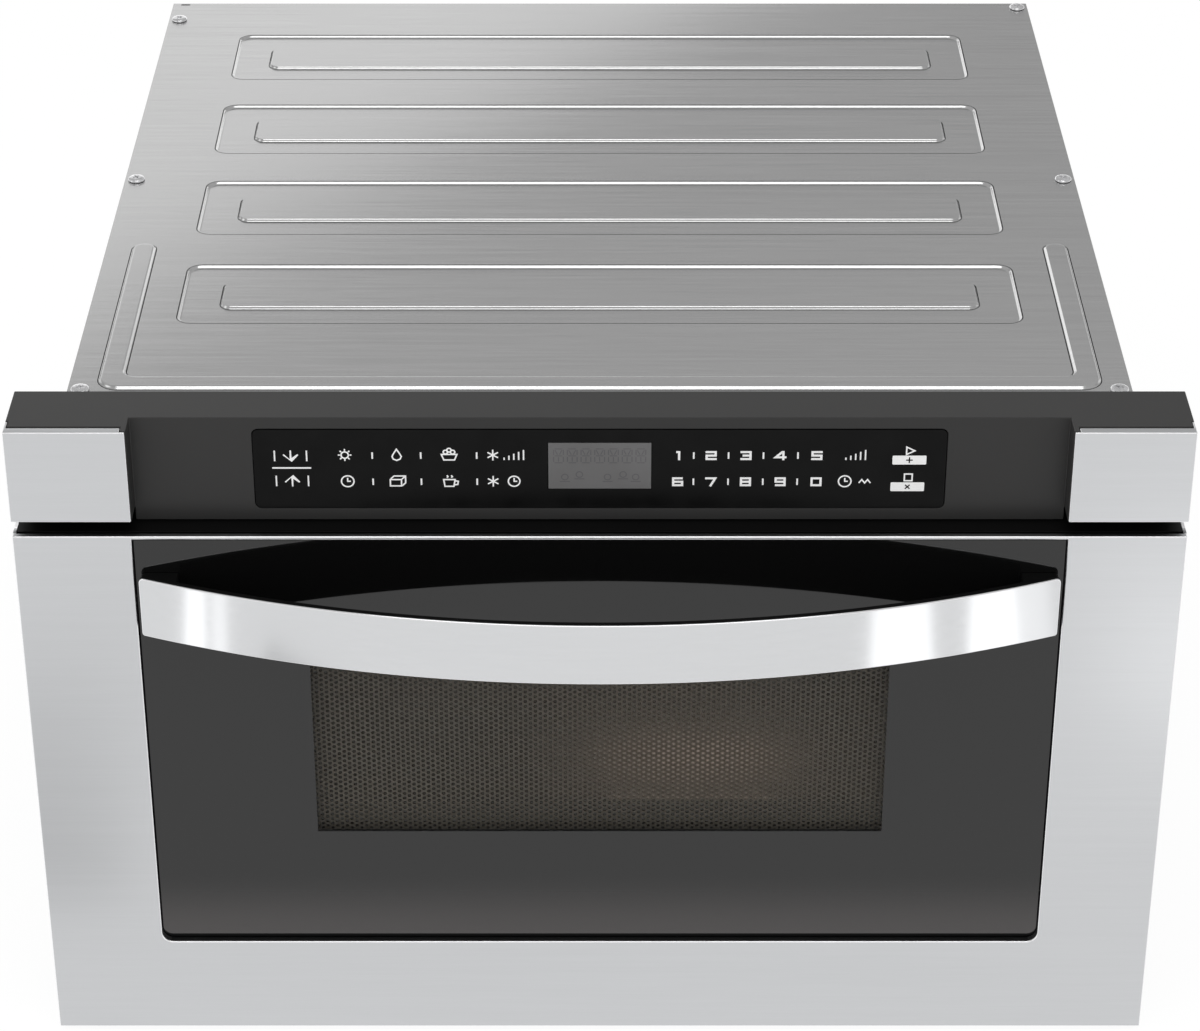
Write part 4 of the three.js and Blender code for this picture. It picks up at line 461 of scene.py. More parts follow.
# %% Coated and moulded finishes
def coated(name, colour, roughness, grain, depth, spread=0.08, speckle=0.0, **sockets):
    """One coat of colour with a fine bump and a slow change of tone."""
    made = Finish(name, **sockets)
    slow = made.noise(6.0, 3.0)
    fine = made.noise(1.0 / grain, 2.0)
    tone = made.remap(slow * 0.7 + fine * 0.3)
    made.set(
        base_color=made.mix(tone, *shades(colour, 1.0 - spread - speckle, 1.0 + spread)),
        roughness=made.remap(fine * 0.6 + slow * 0.4, roughness - 0.05, roughness + 0.05),
        normal=made.bump(fine, depth),
    )


coated("black_steel", (0.005, 0.005, 0.005), 0.34, 0.0012, 0.00002, specular=0.2)
coated("trim_plastic", (0.042, 0.0415, 0.041), 0.36, 0.0006, 0.000012, specular=0.2)
coated("handle_black", (0.004, 0.004, 0.004), 0.42, 0.0012, 0.00002, specular=0.12)
coated("black_plastic", (0.005, 0.005, 0.005), 0.38, 0.0007, 0.000015, specular=0.15)
coated("cavity_paint", (0.60, 0.585, 0.54), 0.42, 0.0015, 0.00003, speckle=0.06)
coated("choke_grey", (0.10, 0.10, 0.105), 0.46, 0.001, 0.00002)
coated("white_plastic", (0.72, 0.71, 0.68), 0.40, 0.001, 0.00001)
# The printed marks get a faint emission, a painted glow that makes them whiter than their light
# does.
painted_glow = {"emission_color": WHITE, "emission_strength": 0.16}
coated("printed_white_painted_glow", (0.93, 0.93, 0.93), 0.5, 0.002, 0.000004, 0.02, **painted_glow)
coated("ceramic", (0.78, 0.76, 0.72), 0.16, 0.004, 0.00001, 0.03, 0.02, coat_weight=0.4)
coated("screen_steel", (0.118, 0.103, 0.078), 0.55, 0.0009, 0.00001, 0.06, specular=0.2)
print("finishes with the coated ones:", len(finishes))

# %% [markdown]
# ### Glass and display
#
# The drawer's glass is tinted dark and printed black round the window. Behind the window the
# print stops, and the perforated screen shows through. The edge of the print is a mask made
# from the place on the pane, a little wider on its back face, and the mask drives Alpha. A
# painted reflection makes the print a little paler towards the pane's foot. The touch panel is
# black print all over, and the display is a flat grey liquid-crystal window with faint darker
# segments.

# %% Glass finishes
PITCH = 3.05
COLUMN_STEP = PITCH * math.cos(math.radians(30))
COLUMNS = 117
ROWS = 37
screen_low, screen_high = box_mm("window_screen")
first_x = -COLUMN_STEP * (COLUMNS - 1) / 2
first_z = screen_low.z + 11.0
window_bottom = first_z + 4.9
window_top = first_z + PITCH * (ROWS - 0.5) + 0.9
WINDOW_HALF = -0.5 - first_x
WINDOW_MIDDLE = (window_bottom + window_top) / 2
WINDOW_TALL = (window_top - window_bottom) / 2
FOOT_FADE = 42.0

pane = Finish("dark_glass", ior=1.52, specular=0.54)
across, deep, up = pane.parts("Object")
pane_low, pane_high = box_mm("drawer_glass")
wider = ((pane_low.y + pane_high.y) / 2 * MM - deep < 0.0) * 0.006
clear = inside(up, WINDOW_MIDDLE * MM, wider + WINDOW_TALL * MM)
clear = inside(across, 0.0, wider + WINDOW_HALF * MM) * clear
foot = pane_low.z
# Painted reflection: the black print turns paler towards the pane's foot.
painted_reflection_fade = pane.remap(up, 1.0, 0.0, foot * MM, (foot + FOOT_FADE) * MM, "SMOOTHSTEP")
print_with_painted_reflection = pane.mix(painted_reflection_fade, 0.005, (0.060, 0.054, 0.053))
pane.set(
    base_color=pane.mix(clear, print_with_painted_reflection, (0.020, 0.019, 0.018)),
    roughness=pane.remap(pane.noise(14.0, 3.0), 0.03, 0.06),
    alpha=1.0 - clear * 0.86,
)

clear_pane = Finish("clear_glass", roughness=0.04, alpha=0.16, ior=1.5)
tint = clear_pane.remap(clear_pane.noise(8.0))
clear_pane.set(base_color=clear_pane.mix(tint, (0.62, 0.65, 0.64), (0.72, 0.74, 0.73)))
print("window of", round(2 * WINDOW_HALF), "by", round(2 * WINDOW_TALL), "mm")


# %% Touch panel and display
def hazy(name, dark, light, grain, low, high, **sockets):
    """A flat tone whose colour and roughness follow one faint haze."""
    made = Finish(name, **sockets)
    haze = made.noise(*grain)
    colour = made.mix(made.remap(haze), dark, light)
    made.set(base_color=colour, roughness=made.remap(haze, low, high))


hazy("touch_glass", 0.0045, 0.007, (60.0, 4.0), 0.16, 0.24, ior=1.45, specular=0.10)
LCD = ((0.172, 0.170, 0.170), (0.196, 0.194, 0.196))
hazy("display_grey", *LCD, (40.0, 3.0), 0.30, 0.36, specular=0.2)

ghost = Finish("display_ghost", specular=0.2)
faint = ghost.remap(ghost.noise(40.0, 3.0))
ghost.set(
    base_color=ghost.mix(faint, (0.124, 0.121, 0.127), (0.146, 0.143, 0.148)),
    roughness=ghost.remap(faint, 0.30, 0.36),
)
print("finishes with glass:", len(finishes))

# %% [markdown]
# ### Finishes inside the cabinet
#
# The circuit board has copper tracks under green lacquer, the transformer's core is a stack
# of thin laminations, and the stirrer's cover is a sheet of mica with its pale flakes.

# %% Board, core and mica
board = Finish("board_green", specular=0.5)
tracks = {
    "Vector": board.place(turn=(math.radians(90), 0.0, 0.0)),
    "Color1": (0.018, 0.085, 0.036, 1.0),
    "Color2": (0.022, 0.10, 0.045, 1.0),
    "Mortar": (0.045, 0.17, 0.07, 1.0),
    "Scale": 90.0,
    "Mortar Size": 0.03,
}
board.set(
    base_color=board.node("ShaderNodeTexBrick", {"offset": 0.35}, tracks),
    roughness=board.remap(board.noise(120.0), 0.25, 0.4),
    normal=board.bump(board.noise(700.0), 0.00002),
)

core = Finish("core_steel", metallic=1.0)
layers = {"Vector": core.place(), "Scale": 320.0, "Distortion": 0.4}
lamination = core.node("ShaderNodeTexWave", {"bands_direction": "Y"}, layers)
rust = core.noise(30.0, 4.0)
both = core.remap(rust * 0.5 + lamination * 0.5)
core.set(
    base_color=core.mix(both, (0.14, 0.13, 0.12), (0.30, 0.29, 0.28)),
    roughness=core.remap(rust, 0.4, 0.6),
    normal=core.bump(lamination, 0.00008),
)

mica = Finish("mica_sheet", specular=0.4)
flake = mica.flakes(110.0)
mica.set(
    base_color=mica.mix(flake, (0.38, 0.33, 0.25), (0.60, 0.55, 0.45)),
    roughness=mica.remap(flake, 0.3, 0.5),
    normal=mica.bump(flake, 0.00004),
)
print("finishes in all:", len(finishes))

# %% [markdown]
# ## From bmesh to piece
#
# Every new piece goes through one function. It merges doubled points, points the faces
# outwards, scales millimetres to metres, smooths the shading but keeps real corners sharp,
# tells the frame which body carries the piece, and hides the solid it stands for.

# %% Make a piece
made_pieces = {}


def make_piece(name, bm, slot, body, stands_for=(), sharp=32, sheet=False, finish=None):
    bmesh.ops.remove_doubles(bm, verts=bm.verts, dist=0.002)
    if not sheet:
        bmesh.ops.recalc_face_normals(bm, faces=bm.faces)
    bmesh.ops.scale(bm, vec=(MM, MM, MM), verts=bm.verts)
    bm.edges.index_update()
    cut_edges = [edge.index for edge in bm.edges if edge.is_boundary]
    mesh = bpy.data.meshes.new(name)
    bm.to_mesh(mesh)
    bm.free()
    mesh.materials.append(finishes[finish or slot])
    mesh.shade_smooth()
    mesh.set_sharp_from_angle(angle=math.radians(sharp))
    for index in cut_edges:
        mesh.edges[index].use_edge_sharp = True
    piece = bpy.data.objects.new(name, mesh)
    scene.collection.objects.link(piece)
    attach(piece, body)
    if stands_for:
        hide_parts(*stands_for)
    made_pieces[name] = piece
    print(name, "-", len(mesh.polygons), "faces")
    return piece


def thickness(piece, millimetres, offset=-1.0):
    """A sheet's thickness, by default on the side away from its faces."""
    wall = piece.modifiers.new("sheet_thickness", "SOLIDIFY")
    wall.thickness = millimetres * MM
    wall.offset = offset
    wall.use_even_offset = True
    return wall

# %% [markdown]
# ## Flat outlines
#
# Most pieces are cut from sheet, so they start as a flat outline with rounded corners. A face
# through the corner points is made first, and a vertex bevel rounds each corner. Its edges
# alone can then serve as the rim of a hole, because triangle_fill fills between closed loops.

# %% Outline helpers
def soften(bm, geom, width, segments=2, affect="EDGES"):
    """Rounds edges over, or the corners of a flat outline."""
    bmesh.ops.bevel(
        bm,
        geom=geom,
        offset=width,
        offset_type="OFFSET",
        affect=affect,
        segments=segments,
        profile=0.5,
        material=-1,
        clamp_overlap=affect == "EDGES",
    )


def face_up(faces):
    """Turns flat faces so that they look up."""
    for face in faces:
        face.normal_update()
        if face.normal.z < 0:
            face.normal_flip()


def outline(bm, corners, radii, level=0.0, segments=6):
    """A flat face through the corners. Each corner is rounded to its own radius."""
    others = set(bm.faces)
    points = [bm.verts.new((x, y, level)) for x, y in corners]
    bm.faces.new(points)
    for radius in sorted(set(radii) - {0.0}):
        chosen = [p for p, r in zip(points, radii) if r == radius]
        soften(bm, chosen, radius, segments, "VERTICES")
    face = next(f for f in bm.faces if f not in others)
    face_up([face])
    return face


def plate(bm, x_span, y_span, radii=0.0, level=0.0, segments=6):
    """A rectangle. One radius serves all corners, or each has its own."""
    (x0, x1), (y0, y1) = x_span, y_span
    corners = [(x0, y0), (x1, y0), (x1, y1), (x0, y1)]
    radii = radii if isinstance(radii, tuple) else (radii,) * 4
    return outline(bm, corners, radii, level, segments)


def rim_only(bm, face):
    """Removes a face but keeps its edges, and returns them."""
    edges = list(face.edges)
    bmesh.ops.delete(bm, geom=[face], context="FACES_ONLY")
    return edges


def circle(bm, at, radius, facets=16):
    """The edges of a circle."""
    centre = Matrix.Translation((*at, 0.0))
    made = bmesh.ops.create_circle(bm, segments=facets, radius=radius, matrix=centre)
    return list({edge for vert in made["verts"] for edge in vert.link_edges})


def among(made, kind):
    """The points, edges or faces that an operator has just made."""
    return [part for part in made["geom"] if isinstance(part, kind)]


def fill_between(bm, edges):
    """Fills a flat region that has holes."""
    made = bmesh.ops.triangle_fill(bm, edges=edges, use_beauty=True, normal=(0.0, 0.0, 1.0))
    faces = among(made, bmesh.types.BMFace)
    face_up(faces)
    return faces


def push(bm, made, vec):
    """Moves the points that an operator has just made, and returns them."""
    moved = among(made, bmesh.types.BMVert)
    bmesh.ops.translate(bm, vec=vec, verts=moved)
    return moved


def stand_up(bm, y):
    """Turns a flat drawing to face the front, at a distance along Y."""
    quarter = Matrix.Rotation(math.radians(90), 3, "X")
    bmesh.ops.rotate(bm, cent=(0, 0, 0), matrix=quarter, verts=bm.verts)
    bmesh.ops.translate(bm, vec=(0, y, 0), verts=bm.verts)


def corners_of(bm, degrees=30):
    """The edges where two faces meet at more than an angle."""
    limit = math.radians(degrees)
    return [e for e in bm.edges if len(e.link_faces) == 2 and e.calc_face_angle(0.0) > limit]


print("outline helpers ready")

# %% [markdown]
# ## Top cover
#
# The cover is one sheet with four long ribs pressed into it and a U-shaped bead pressed out of
# it. A press tool leaves no sharp lines: every wall runs into the sheet over a small curve.
# The walls could be swept along a path, but a few stepped insets do it with one face: each
# step goes a little further in and a little deeper, and the depths follow an S.

# %% Press a face in or out
LIP = 0.5


def press(bm, face, run, depth, steps=5):
    """Pushes a face along its normal over a wall of width run. A negative depth goes in."""

    def inset(width, rise):
        bmesh.ops.inset_individual(
            bm, faces=[face], thickness=width, depth=rise, use_even_offset=True
        )

    inset(LIP, 0.0)
    reached = 0.0
    for step in range(1, steps + 1):
        part = step / steps
        level = depth * part * part * (3.0 - 2.0 * part)
        inset(run / steps, level - reached)
        reached = level
    inset(LIP, 0.0)
    return face


print("a pressed wall has a lip of", LIP, "mm")

# %% The cover's ribs and bead
PRESS_DEPTH = 1.5
PRESS_RUN = 1.7
RIB_HALF = 229.0
RIB_WIDTH = 70.8
FIRST_RIB = 93.2
RIB_STEP = 110.0
GROOVE = 20.4
END_GROOVE = 23.0
cover_low, cover_high = box_mm("top_cover")
COVER_TOP = cover_high.z - PRESS_DEPTH
cover_half = cover_high.x
face_rear = box_mm("front_frame")[1].y

cover = bmesh.new()
flat_edges = rim_only(cover, plate(cover, (-cover_half, cover_half), (cover_low.y, cover_high.y)))
ring_half = RIB_HALF + LIP
island_half = RIB_HALF - END_GROOVE + PRESS_RUN
for number in range(4):
    front = face_rear + FIRST_RIB + RIB_STEP * number
    ring_y = (front - LIP, front + RIB_WIDTH + LIP)
    ring = plate(cover, (-ring_half, ring_half), ring_y, 8.5)
    flat_edges += list(ring.edges)
    groove_edges = rim_only(cover, press(cover, ring, PRESS_RUN, -PRESS_DEPTH))
    island_y = (front + GROOVE - PRESS_RUN, front + RIB_WIDTH - GROOVE + PRESS_RUN)
    island = plate(cover, (-island_half, island_half), island_y, 6.5, -PRESS_DEPTH)
    groove_edges += list(island.edges)
    press(cover, island, PRESS_RUN - LIP, PRESS_DEPTH)
    fill_between(cover, groove_edges)
print("edges left to fill:", len(flat_edges))

# %% The bead, the holes and the sheet
BEAD_WIDTH = 14.5
bead_outer = cover_half - 14.3
bead_inner = bead_outer - BEAD_WIDTH
bead_front = face_rear + 17.0
bead_rear = bead_front + 172.8
right_half = [
    (bead_outer, bead_front),
    (bead_outer, bead_rear),
    (bead_inner, bead_rear),
    (bead_inner, bead_front + BEAD_WIDTH),
]
left_half = [(-x, y) for x, y in reversed(right_half)]
bead = outline(cover, right_half + left_half, [12.0, 6.4, 6.4, 6.0, 6.0, 6.4, 6.4, 12.0])
flat_edges += list(bead.edges)
press(cover, bead, PRESS_RUN, PRESS_DEPTH)

screw_boxes = [box_mm(f"cover_screw_{i}") for i in range(1, 7)]
screw_places = [((low.x + high.x) / 2, (low.y + high.y) / 2) for low, high in screw_boxes]
for place in screw_places:
    flat_edges += circle(cover, place, 2.1)
slot_x, slot_y = -cover_half + 5.0, cover_high.y - 3.2
slot = plate(cover, (slot_x, slot_x + 6.0), (slot_y, slot_y + 1.8), 0.8)
flat_edges += rim_only(cover, slot)
fill_between(cover, flat_edges)
bmesh.ops.translate(cover, vec=(0, 0, COVER_TOP), verts=cover.verts)
top_cover = make_piece(
    "pressed_top_cover", cover, "cover_steel", "cabinet", ["top_cover"], sheet=True
)
thickness(top_cover, 1.2)

# %% [markdown]
# ## Cover screws
#
# Each screw is a pan head with a cross recess. A profile of the head is spun round its axis,
# which gives the domed rim, and the cross is cut from a small grid whose corners are left out.

# %% Pan-head screws
CROSS_HALF = 0.45
CROSS_REACH = 2.1


def pan_head(bm, radius=4.9, height=1.9, shank=1.8, length=8.0):
    """A screw on the Z axis, its head seated at zero."""
    shaft = [(0.0, -length), (shank, shank - length), (shank, 0.0)]
    side = [(radius - 0.1, 0.0), (radius, 0.25), (radius, 0.7)]
    dome = [(radius * part, height * up) for part, up in ((0.93, 0.66), (0.80, 0.87), (0.56, 1.0))]
    points = [bm.verts.new((r, 0.0, z)) for r, z in shaft + side + dome]
    edges = [bm.edges.new(pair) for pair in zip(points, points[1:])]
    around = {"axis": (0, 0, 1), "cent": (0, 0, 0), "angle": math.tau}
    bmesh.ops.spin(bm, geom=points + edges, steps=32, use_merge=True, **around)
    bmesh.ops.remove_doubles(bm, verts=bm.verts, dist=0.001)
    rim = [e for e in bm.edges if e.is_boundary and min(v.co.z for v in e.verts) > height - 0.01]
    grid = bmesh.ops.create_grid(bm, x_segments=3, y_segments=3, size=CROSS_REACH)
    for vert in grid["verts"]:
        for axis in (0, 1):
            reach = CROSS_HALF if abs(vert.co[axis]) < 1.0 else CROSS_REACH
            vert.co[axis] = math.copysign(reach, vert.co[axis])
        vert.co.z = height
    cells = {f for v in grid["verts"] for f in v.link_faces}
    tips = [f for f in cells if min(abs(c) for c in f.calc_center_median()[:2]) > 0.9]
    bmesh.ops.delete(bm, geom=tips, context="FACES")
    cross = [f for f in cells if f.is_valid]
    cross_rim = [e for f in cross for e in f.edges if e.is_boundary]
    fill_between(bm, rim + cross_rim)
    moved = push(bm, bmesh.ops.extrude_face_region(bm, geom=cross), (0, 0, -1.1))
    bmesh.ops.scale(bm, vec=(0.72, 0.72, 1.0), verts=moved)
    bmesh.ops.delete(bm, geom=[f for f in cross if f.is_valid], context="FACES")


for number, (x, y) in enumerate(screw_places, 1):
    screw = bmesh.new()
    pan_head(screw)
    turn = Matrix.Rotation(math.radians(17.0 * number), 3, "Z")
    bmesh.ops.rotate(screw, cent=(0, 0, 0), matrix=turn, verts=screw.verts)
    bmesh.ops.translate(screw, vec=(x, y, COVER_TOP + 0.3), verts=screw.verts)
    node = f"cover_screw_{number}"
    make_piece(f"pan_screw_{number}", screw, "zinc_screw", "cabinet", [node])

# %% [markdown]
# ## Drawer frame
#
# The stainless frame is one sheet: a flat face with a large opening, folded back at the sides
# and the bottom, with a short return along the top and a narrow lip round the opening. The
# flat face is filled between its two outlines, the returns are extruded from its edges, and
# the folds are bevelled before the sheet gets its thickness.

# %% Fold the frame
FRAME_SHEET = 1.2
TOP_RETURN = 3.0
LIP_DEPTH = 4.2
frame_low, frame_high = box_mm("drawer_frame")
OPENING_HALF = frame_high.x - 61.5
OPENING_Z = (frame_low.z + 59.5, frame_high.z - 2.0)

skin = bmesh.new()
face = plate(skin, (frame_low.x, frame_high.x), (frame_low.z, frame_high.z))
outer_edges = rim_only(skin, face)
rounded_foot = (6.0, 6.0, 0.0, 0.0)
opening = plate(skin, (-OPENING_HALF, OPENING_HALF), OPENING_Z, rounded_foot, segments=8)
opening_edges = rim_only(skin, opening)
fill_between(skin, outer_edges + opening_edges)
stand_up(skin, FRONT_PLANE)


def fold_back(bm, edges, depth):
    """Extrudes edges straight back and returns the new edges."""
    made = bmesh.ops.extrude_edge_only(bm, edges=edges)
    push(bm, made, (0, depth, 0))
    return among(made, bmesh.types.BMEdge)


short = fold_back(skin, outer_edges, TOP_RETURN)
deep = [e for e in short if any(v.co.z < frame_high.z - 1.0 for v in e.verts)]
fold_back(skin, deep, frame_high.y - FRONT_PLANE - TOP_RETURN)
fold_back(skin, opening_edges, LIP_DEPTH)
bmesh.ops.recalc_face_normals(skin, faces=skin.faces)
front_face = next(f for f in skin.faces if abs(f.normal.y) > 0.9)
if front_face.normal.y > 0:
    bmesh.ops.reverse_faces(skin, faces=skin.faces)
soften(skin, corners_of(skin, 60), 0.85, 4)
frame_piece = make_piece(
    "folded_drawer_frame", skin, "brushed_stainless", "drawer", ["drawer_frame"], sheet=True
)
thickness(frame_piece, FRAME_SHEET)

# %% [markdown]
# ## Drawer glass
#
# The pane is four millimetres of float glass with two holes for the handle's studs. It is cut
# from the same kind of outline, thickened, and its edges are ground to a small arris.

# %% Cut the pane
def slab(bm, faces, depth):
    """Thickens flat faces backwards into a closed solid."""
    made = bmesh.ops.extrude_face_region(bm, geom=faces, use_keep_orig=True)
    push(bm, made, (0, depth, 0))
    bmesh.ops.recalc_face_normals(bm, faces=bm.faces)


handle_low, handle_high = box_mm("handle_bar")
HANDLE_Z = (handle_low.z + handle_high.z) / 2
STUD_X = handle_high.x - 9.0
glass = bmesh.new()
pane_half = pane_high.x + 0.6
rounded_foot = (5.0, 5.0, 0.0, 0.0)
flat_pane = plate(
    glass, (-pane_half, pane_half), (pane_low.z, pane_high.z), rounded_foot, segments=8
)
glass_edges = rim_only(glass, flat_pane)
for x in (-STUD_X, STUD_X):
    glass_edges += circle(glass, (x, HANDLE_Z), 3.3)
pane_faces = fill_between(glass, glass_edges)
stand_up(glass, pane_low.y)
slab(glass, pane_faces, pane_high.y - pane_low.y)
soften(glass, corners_of(glass, 60), 0.35)
make_piece("ground_drawer_glass", glass, "dark_glass", "drawer", ["drawer_glass"])

# %% [markdown]
# ## Handle
#
# The handle is a flat bar bowed towards the user in one even curve. Its section is a
# rectangle, so the bar is that rectangle spun through a shallow arc. Behind each end the bar's
# back is pulled down to the glass as a foot, where the stud goes in. The stainless skin on its
# front is the same form, thinner and further out.

# %% Bow the bar and its skin
handle_half = handle_high.x
handle_back = pane_low.y - 0.3
BOW = 46.9
FOOT_DEPTH = 5.4
FOOT_LENGTH = 20.0
bow_radius = (handle_half * handle_half + BOW * BOW) / (2 * BOW)
bow_reach = math.asin(handle_half / bow_radius)
handle_front = handle_back - FOOT_DEPTH - BOW
bow_centre = handle_front + bow_radius
half_tall = (handle_high.z - handle_low.z) / 2


def bowed_strip(bm, near, far):
    """A strip along the bow, between two distances behind the handle's front."""
    start = [
        bm.verts.new((0.0, handle_front + reach, HANDLE_Z + side * half_tall))
        for reach, side in ((near, -1), (far, -1), (far, 1), (near, 1))
    ]
    section = bm.faces.new(start)
    axle = (0.0, bow_centre, 0.0)
    swing = Matrix.Rotation(-bow_reach, 3, "Z")
    bmesh.ops.rotate(bm, cent=axle, matrix=swing, verts=section.verts)
    around = {"axis": (0, 0, 1), "cent": axle, "angle": 2 * bow_reach}
    bmesh.ops.spin(bm, geom=[section], steps=48, use_merge=False, **around)
    bmesh.ops.remove_doubles(bm, verts=bm.verts, dist=0.001)
    bmesh.ops.recalc_face_normals(bm, faces=bm.faces)


def round_ends(bm, top_radius, foot_radius):
    """Rounds the four corners at the strip's ends, seen from the front."""
    for side, radius in ((1, top_radius), (-1, foot_radius)):
        ends = [
            e
            for e in bm.edges
            if min(abs(v.co.x) for v in e.verts) > handle_half - 2.5
            and abs(e.verts[0].co.z - e.verts[1].co.z) < 0.01
            and (e.verts[0].co.z - HANDLE_Z) * side > 0
            and e.calc_length() < 3.0
        ]
        soften(bm, ends, radius, 5)


def add_feet(bm):
    """Pulls the bar's back near its ends down to the glass."""
    inner = handle_half - FOOT_LENGTH
    near_ends = [
        f for f in bm.faces if f.normal.y > 0.5 and abs(f.calc_center_median().x) > inner
    ]
    made = bmesh.ops.extrude_face_region(bm, geom=near_ends)
    for vert in among(made, bmesh.types.BMVert):
        vert.co.y = handle_back
    bmesh.ops.delete(bm, geom=[f for f in near_ends if f.is_valid], context="FACES")
    bmesh.ops.recalc_face_normals(bm, faces=bm.faces)


bar = bmesh.new()
bowed_strip(bar, 1.8, 4.0)
round_ends(bar, 2.0, 1.2)
add_feet(bar)
soften(bar, corners_of(bar, 50), 0.3)
for x in (-STUD_X, STUD_X):
    stud_place = Matrix.Translation((x, handle_back + 3.3, HANDLE_Z))
    stud_place = stud_place @ Matrix.Rotation(math.pi / 2, 4, "X")
    round_bar = {"segments": 24, "radius1": 3.0, "radius2": 3.0, "depth": 8.0}
    stud = bmesh.ops.create_cone(bar, cap_ends=True, matrix=stud_place, **round_bar)
    ends = {e for v in stud["verts"] for e in v.link_edges if len(e.link_faces) == 2}
    soften(bar, [e for e in ends if e.calc_face_angle(0.0) > 1.0], 0.4)
make_piece("bowed_handle_bar", bar, "black_steel", "drawer", ["handle_bar"], finish="handle_black")

cover_skin = bmesh.new()
bowed_strip(cover_skin, 0.0, 1.5)
round_ends(cover_skin, 3.2, 1.6)
soften(cover_skin, corners_of(cover_skin, 50), 0.7, 4)
make_piece(
    "bowed_handle_skin",
    cover_skin,
    "brushed_stainless",
    "drawer",
    ["handle_cover"],
    finish="handle_steel",
)

# %% [markdown]
# ## Window screen
#
# The screen keeps the microwaves in and lets light out: a thin sheet with about four thousand
# round holes in staggered columns. Each hole and the metal round it form a six-sided cell, and
# cells tile without gaps, so one cell is copied into a column and the column across the sheet.
# Six sides are enough for a hole of two millimetres.

# %% Perforate the screen
HOLE_RADIUS = 1.08
screen = bmesh.new()
turned = Matrix.Rotation(math.radians(30), 4, "Z")
rings = [
    bmesh.ops.create_circle(screen, segments=6, radius=radius, matrix=turned)["verts"]
    for radius in (PITCH / math.sqrt(3), HOLE_RADIUS)
]
loops = list({e for ring in rings for v in ring for e in v.link_edges})
bmesh.ops.bridge_loops(screen, edges=loops)


def repeat(bm, count, step):
    """Copies everything in a mesh along a step, count times in all."""
    original = bm.verts[:] + bm.edges[:] + bm.faces[:]
    for number in range(1, count):
        push(bm, bmesh.ops.duplicate(bm, geom=original), Vector(step) * number)


repeat(screen, ROWS, (0.0, PITCH, 0.0))
repeat(screen, 2, (COLUMN_STEP, PITCH / 2, 0.0))
repeat(screen, (COLUMNS + 1) // 2, (2 * COLUMN_STEP, 0.0, 0.0))
last_x = COLUMN_STEP * (COLUMNS - 0.5)
spare = [f for f in screen.faces if f.calc_center_median().x > last_x]
bmesh.ops.delete(screen, geom=spare, context="FACES")
bmesh.ops.remove_doubles(screen, verts=screen.verts, dist=0.01)
bmesh.ops.translate(screen, vec=(first_x, first_z, 0.0), verts=screen.verts)
ragged = [e for e in screen.edges if e.is_boundary and e.calc_length() > 1.3]
margin = plate(screen, (screen_low.x, screen_high.x), (screen_low.z, screen_high.z))
fill_between(screen, ragged + rim_only(screen, margin))
face_up(screen.faces)
stand_up(screen, screen_low.y)
screen_piece = make_piece(
    "perforated_screen", screen, "screen_steel", "drawer", ["window_screen"], sheet=True
)
thickness(screen_piece, screen_high.y - screen_low.y)

# %% [markdown]
# ## Marks on the touch panel
#
# The keys are printed on the back of the glass as white marks: the ten digits, short ticks
# between them, and small pictograms. A printed line has one width everywhere, so each mark is
# drawn as a thin path, given a hair of depth, and a Solidify modifier sets the line's width.

# %% Draw with lines
touch_low, _ = box_mm("touch_panel")
MARK_DEPTH = 0.12
SINK = 0.04
ROW_HIGH = 362.2
ROW_LOW = 346.7


def stroke(bm, points, at=(0.0, 0.0), closed=False):
    """A path on the panel. Points are in millimetres from the mark's middle."""
    verts = [bm.verts.new((at[0] + x, at[1] + y, 0.0)) for x, y in points]
    pairs = list(zip(verts, verts[1:]))
    if closed:
        pairs.append((verts[-1], verts[0]))
    for pair in pairs:
        bm.edges.new(pair)


def print_marks(
    name, bm, width, slot="white_plastic", finish="printed_white_painted_glow", depth=MARK_DEPTH, y=touch_low.y
):
    """Turns paths into printed lines of one width on the panel's face."""
    push(bm, bmesh.ops.extrude_edge_only(bm, edges=bm.edges[:]), (0, 0, depth))
    stand_up(bm, y)
    bmesh.ops.translate(bm, vec=(0, SINK, 0), verts=bm.verts)
    piece = make_piece(name, bm, slot, "cabinet", sheet=True, finish=finish)
    thickness(piece, width, 0.0)


def key_x(pixel):
    """Where a key stands on the panel, from its place in the picture."""
    return (pixel - 600.0) * 0.5135


print("panel's front at y =", round(touch_low.y, 2), "mm")

# %% Digits and ticks
W, H = 2.3, 2.05
TAIL = 2.9
corner_points = [(-W, H), (W, H), (-W, 0.0), (W, 0.0), (-W, -H), (W, -H)]
tail_points = [(-TAIL, H), (TAIL, H), (-TAIL, -H), (TAIL, -H), (TAIL, -1.0)]
upper_points = [(-0.9, H), (0.6, H), (1.3, H), (0.7, H), (2.6, H)]
lower_points = [(-1.8, 0.0), (0.6, -2.7), (1.3, -2.7), (-2.6, -1.0), (-0.3, -2.7), (-2.6, -H)]
points = corner_points + tail_points + upper_points + lower_points
POINTS = dict(zip("abcdefABEFohilmpgjknqr", points))
PATHS = "hij AbdceF AbfE,gd klmno BacdfE paefdc Abq efbae,cd rfbacd efbae"
DIGITS = dict(zip("1234567890", PATHS.split()))
digits = bmesh.new()
for row, text in ((ROW_HIGH, "12345"), (ROW_LOW, "67890")):
    for column, digit in zip((678.2, 711.4, 746.3, 781.1, 817.2), text):
        for path in DIGITS[digit].split(","):
            stroke(digits, [POINTS[name] for name in path], (key_x(column), row))
print_marks("printed_digits", digits, 1.15)

ticks = bmesh.new()
for row in (ROW_HIGH, ROW_LOW):
    for column in (372.4, 420.9, 476.9, 694.0, 728.8, 763.7, 798.2):
        stroke(ticks, [(0.0, -1.9), (0.0, 1.9)], (key_x(column), row))
stroke(ticks, [(-10.0, 0.0), (10.0, 0.0)], (key_x(291.3), 354.9))
print_marks("printed_ticks", ticks, 0.85)

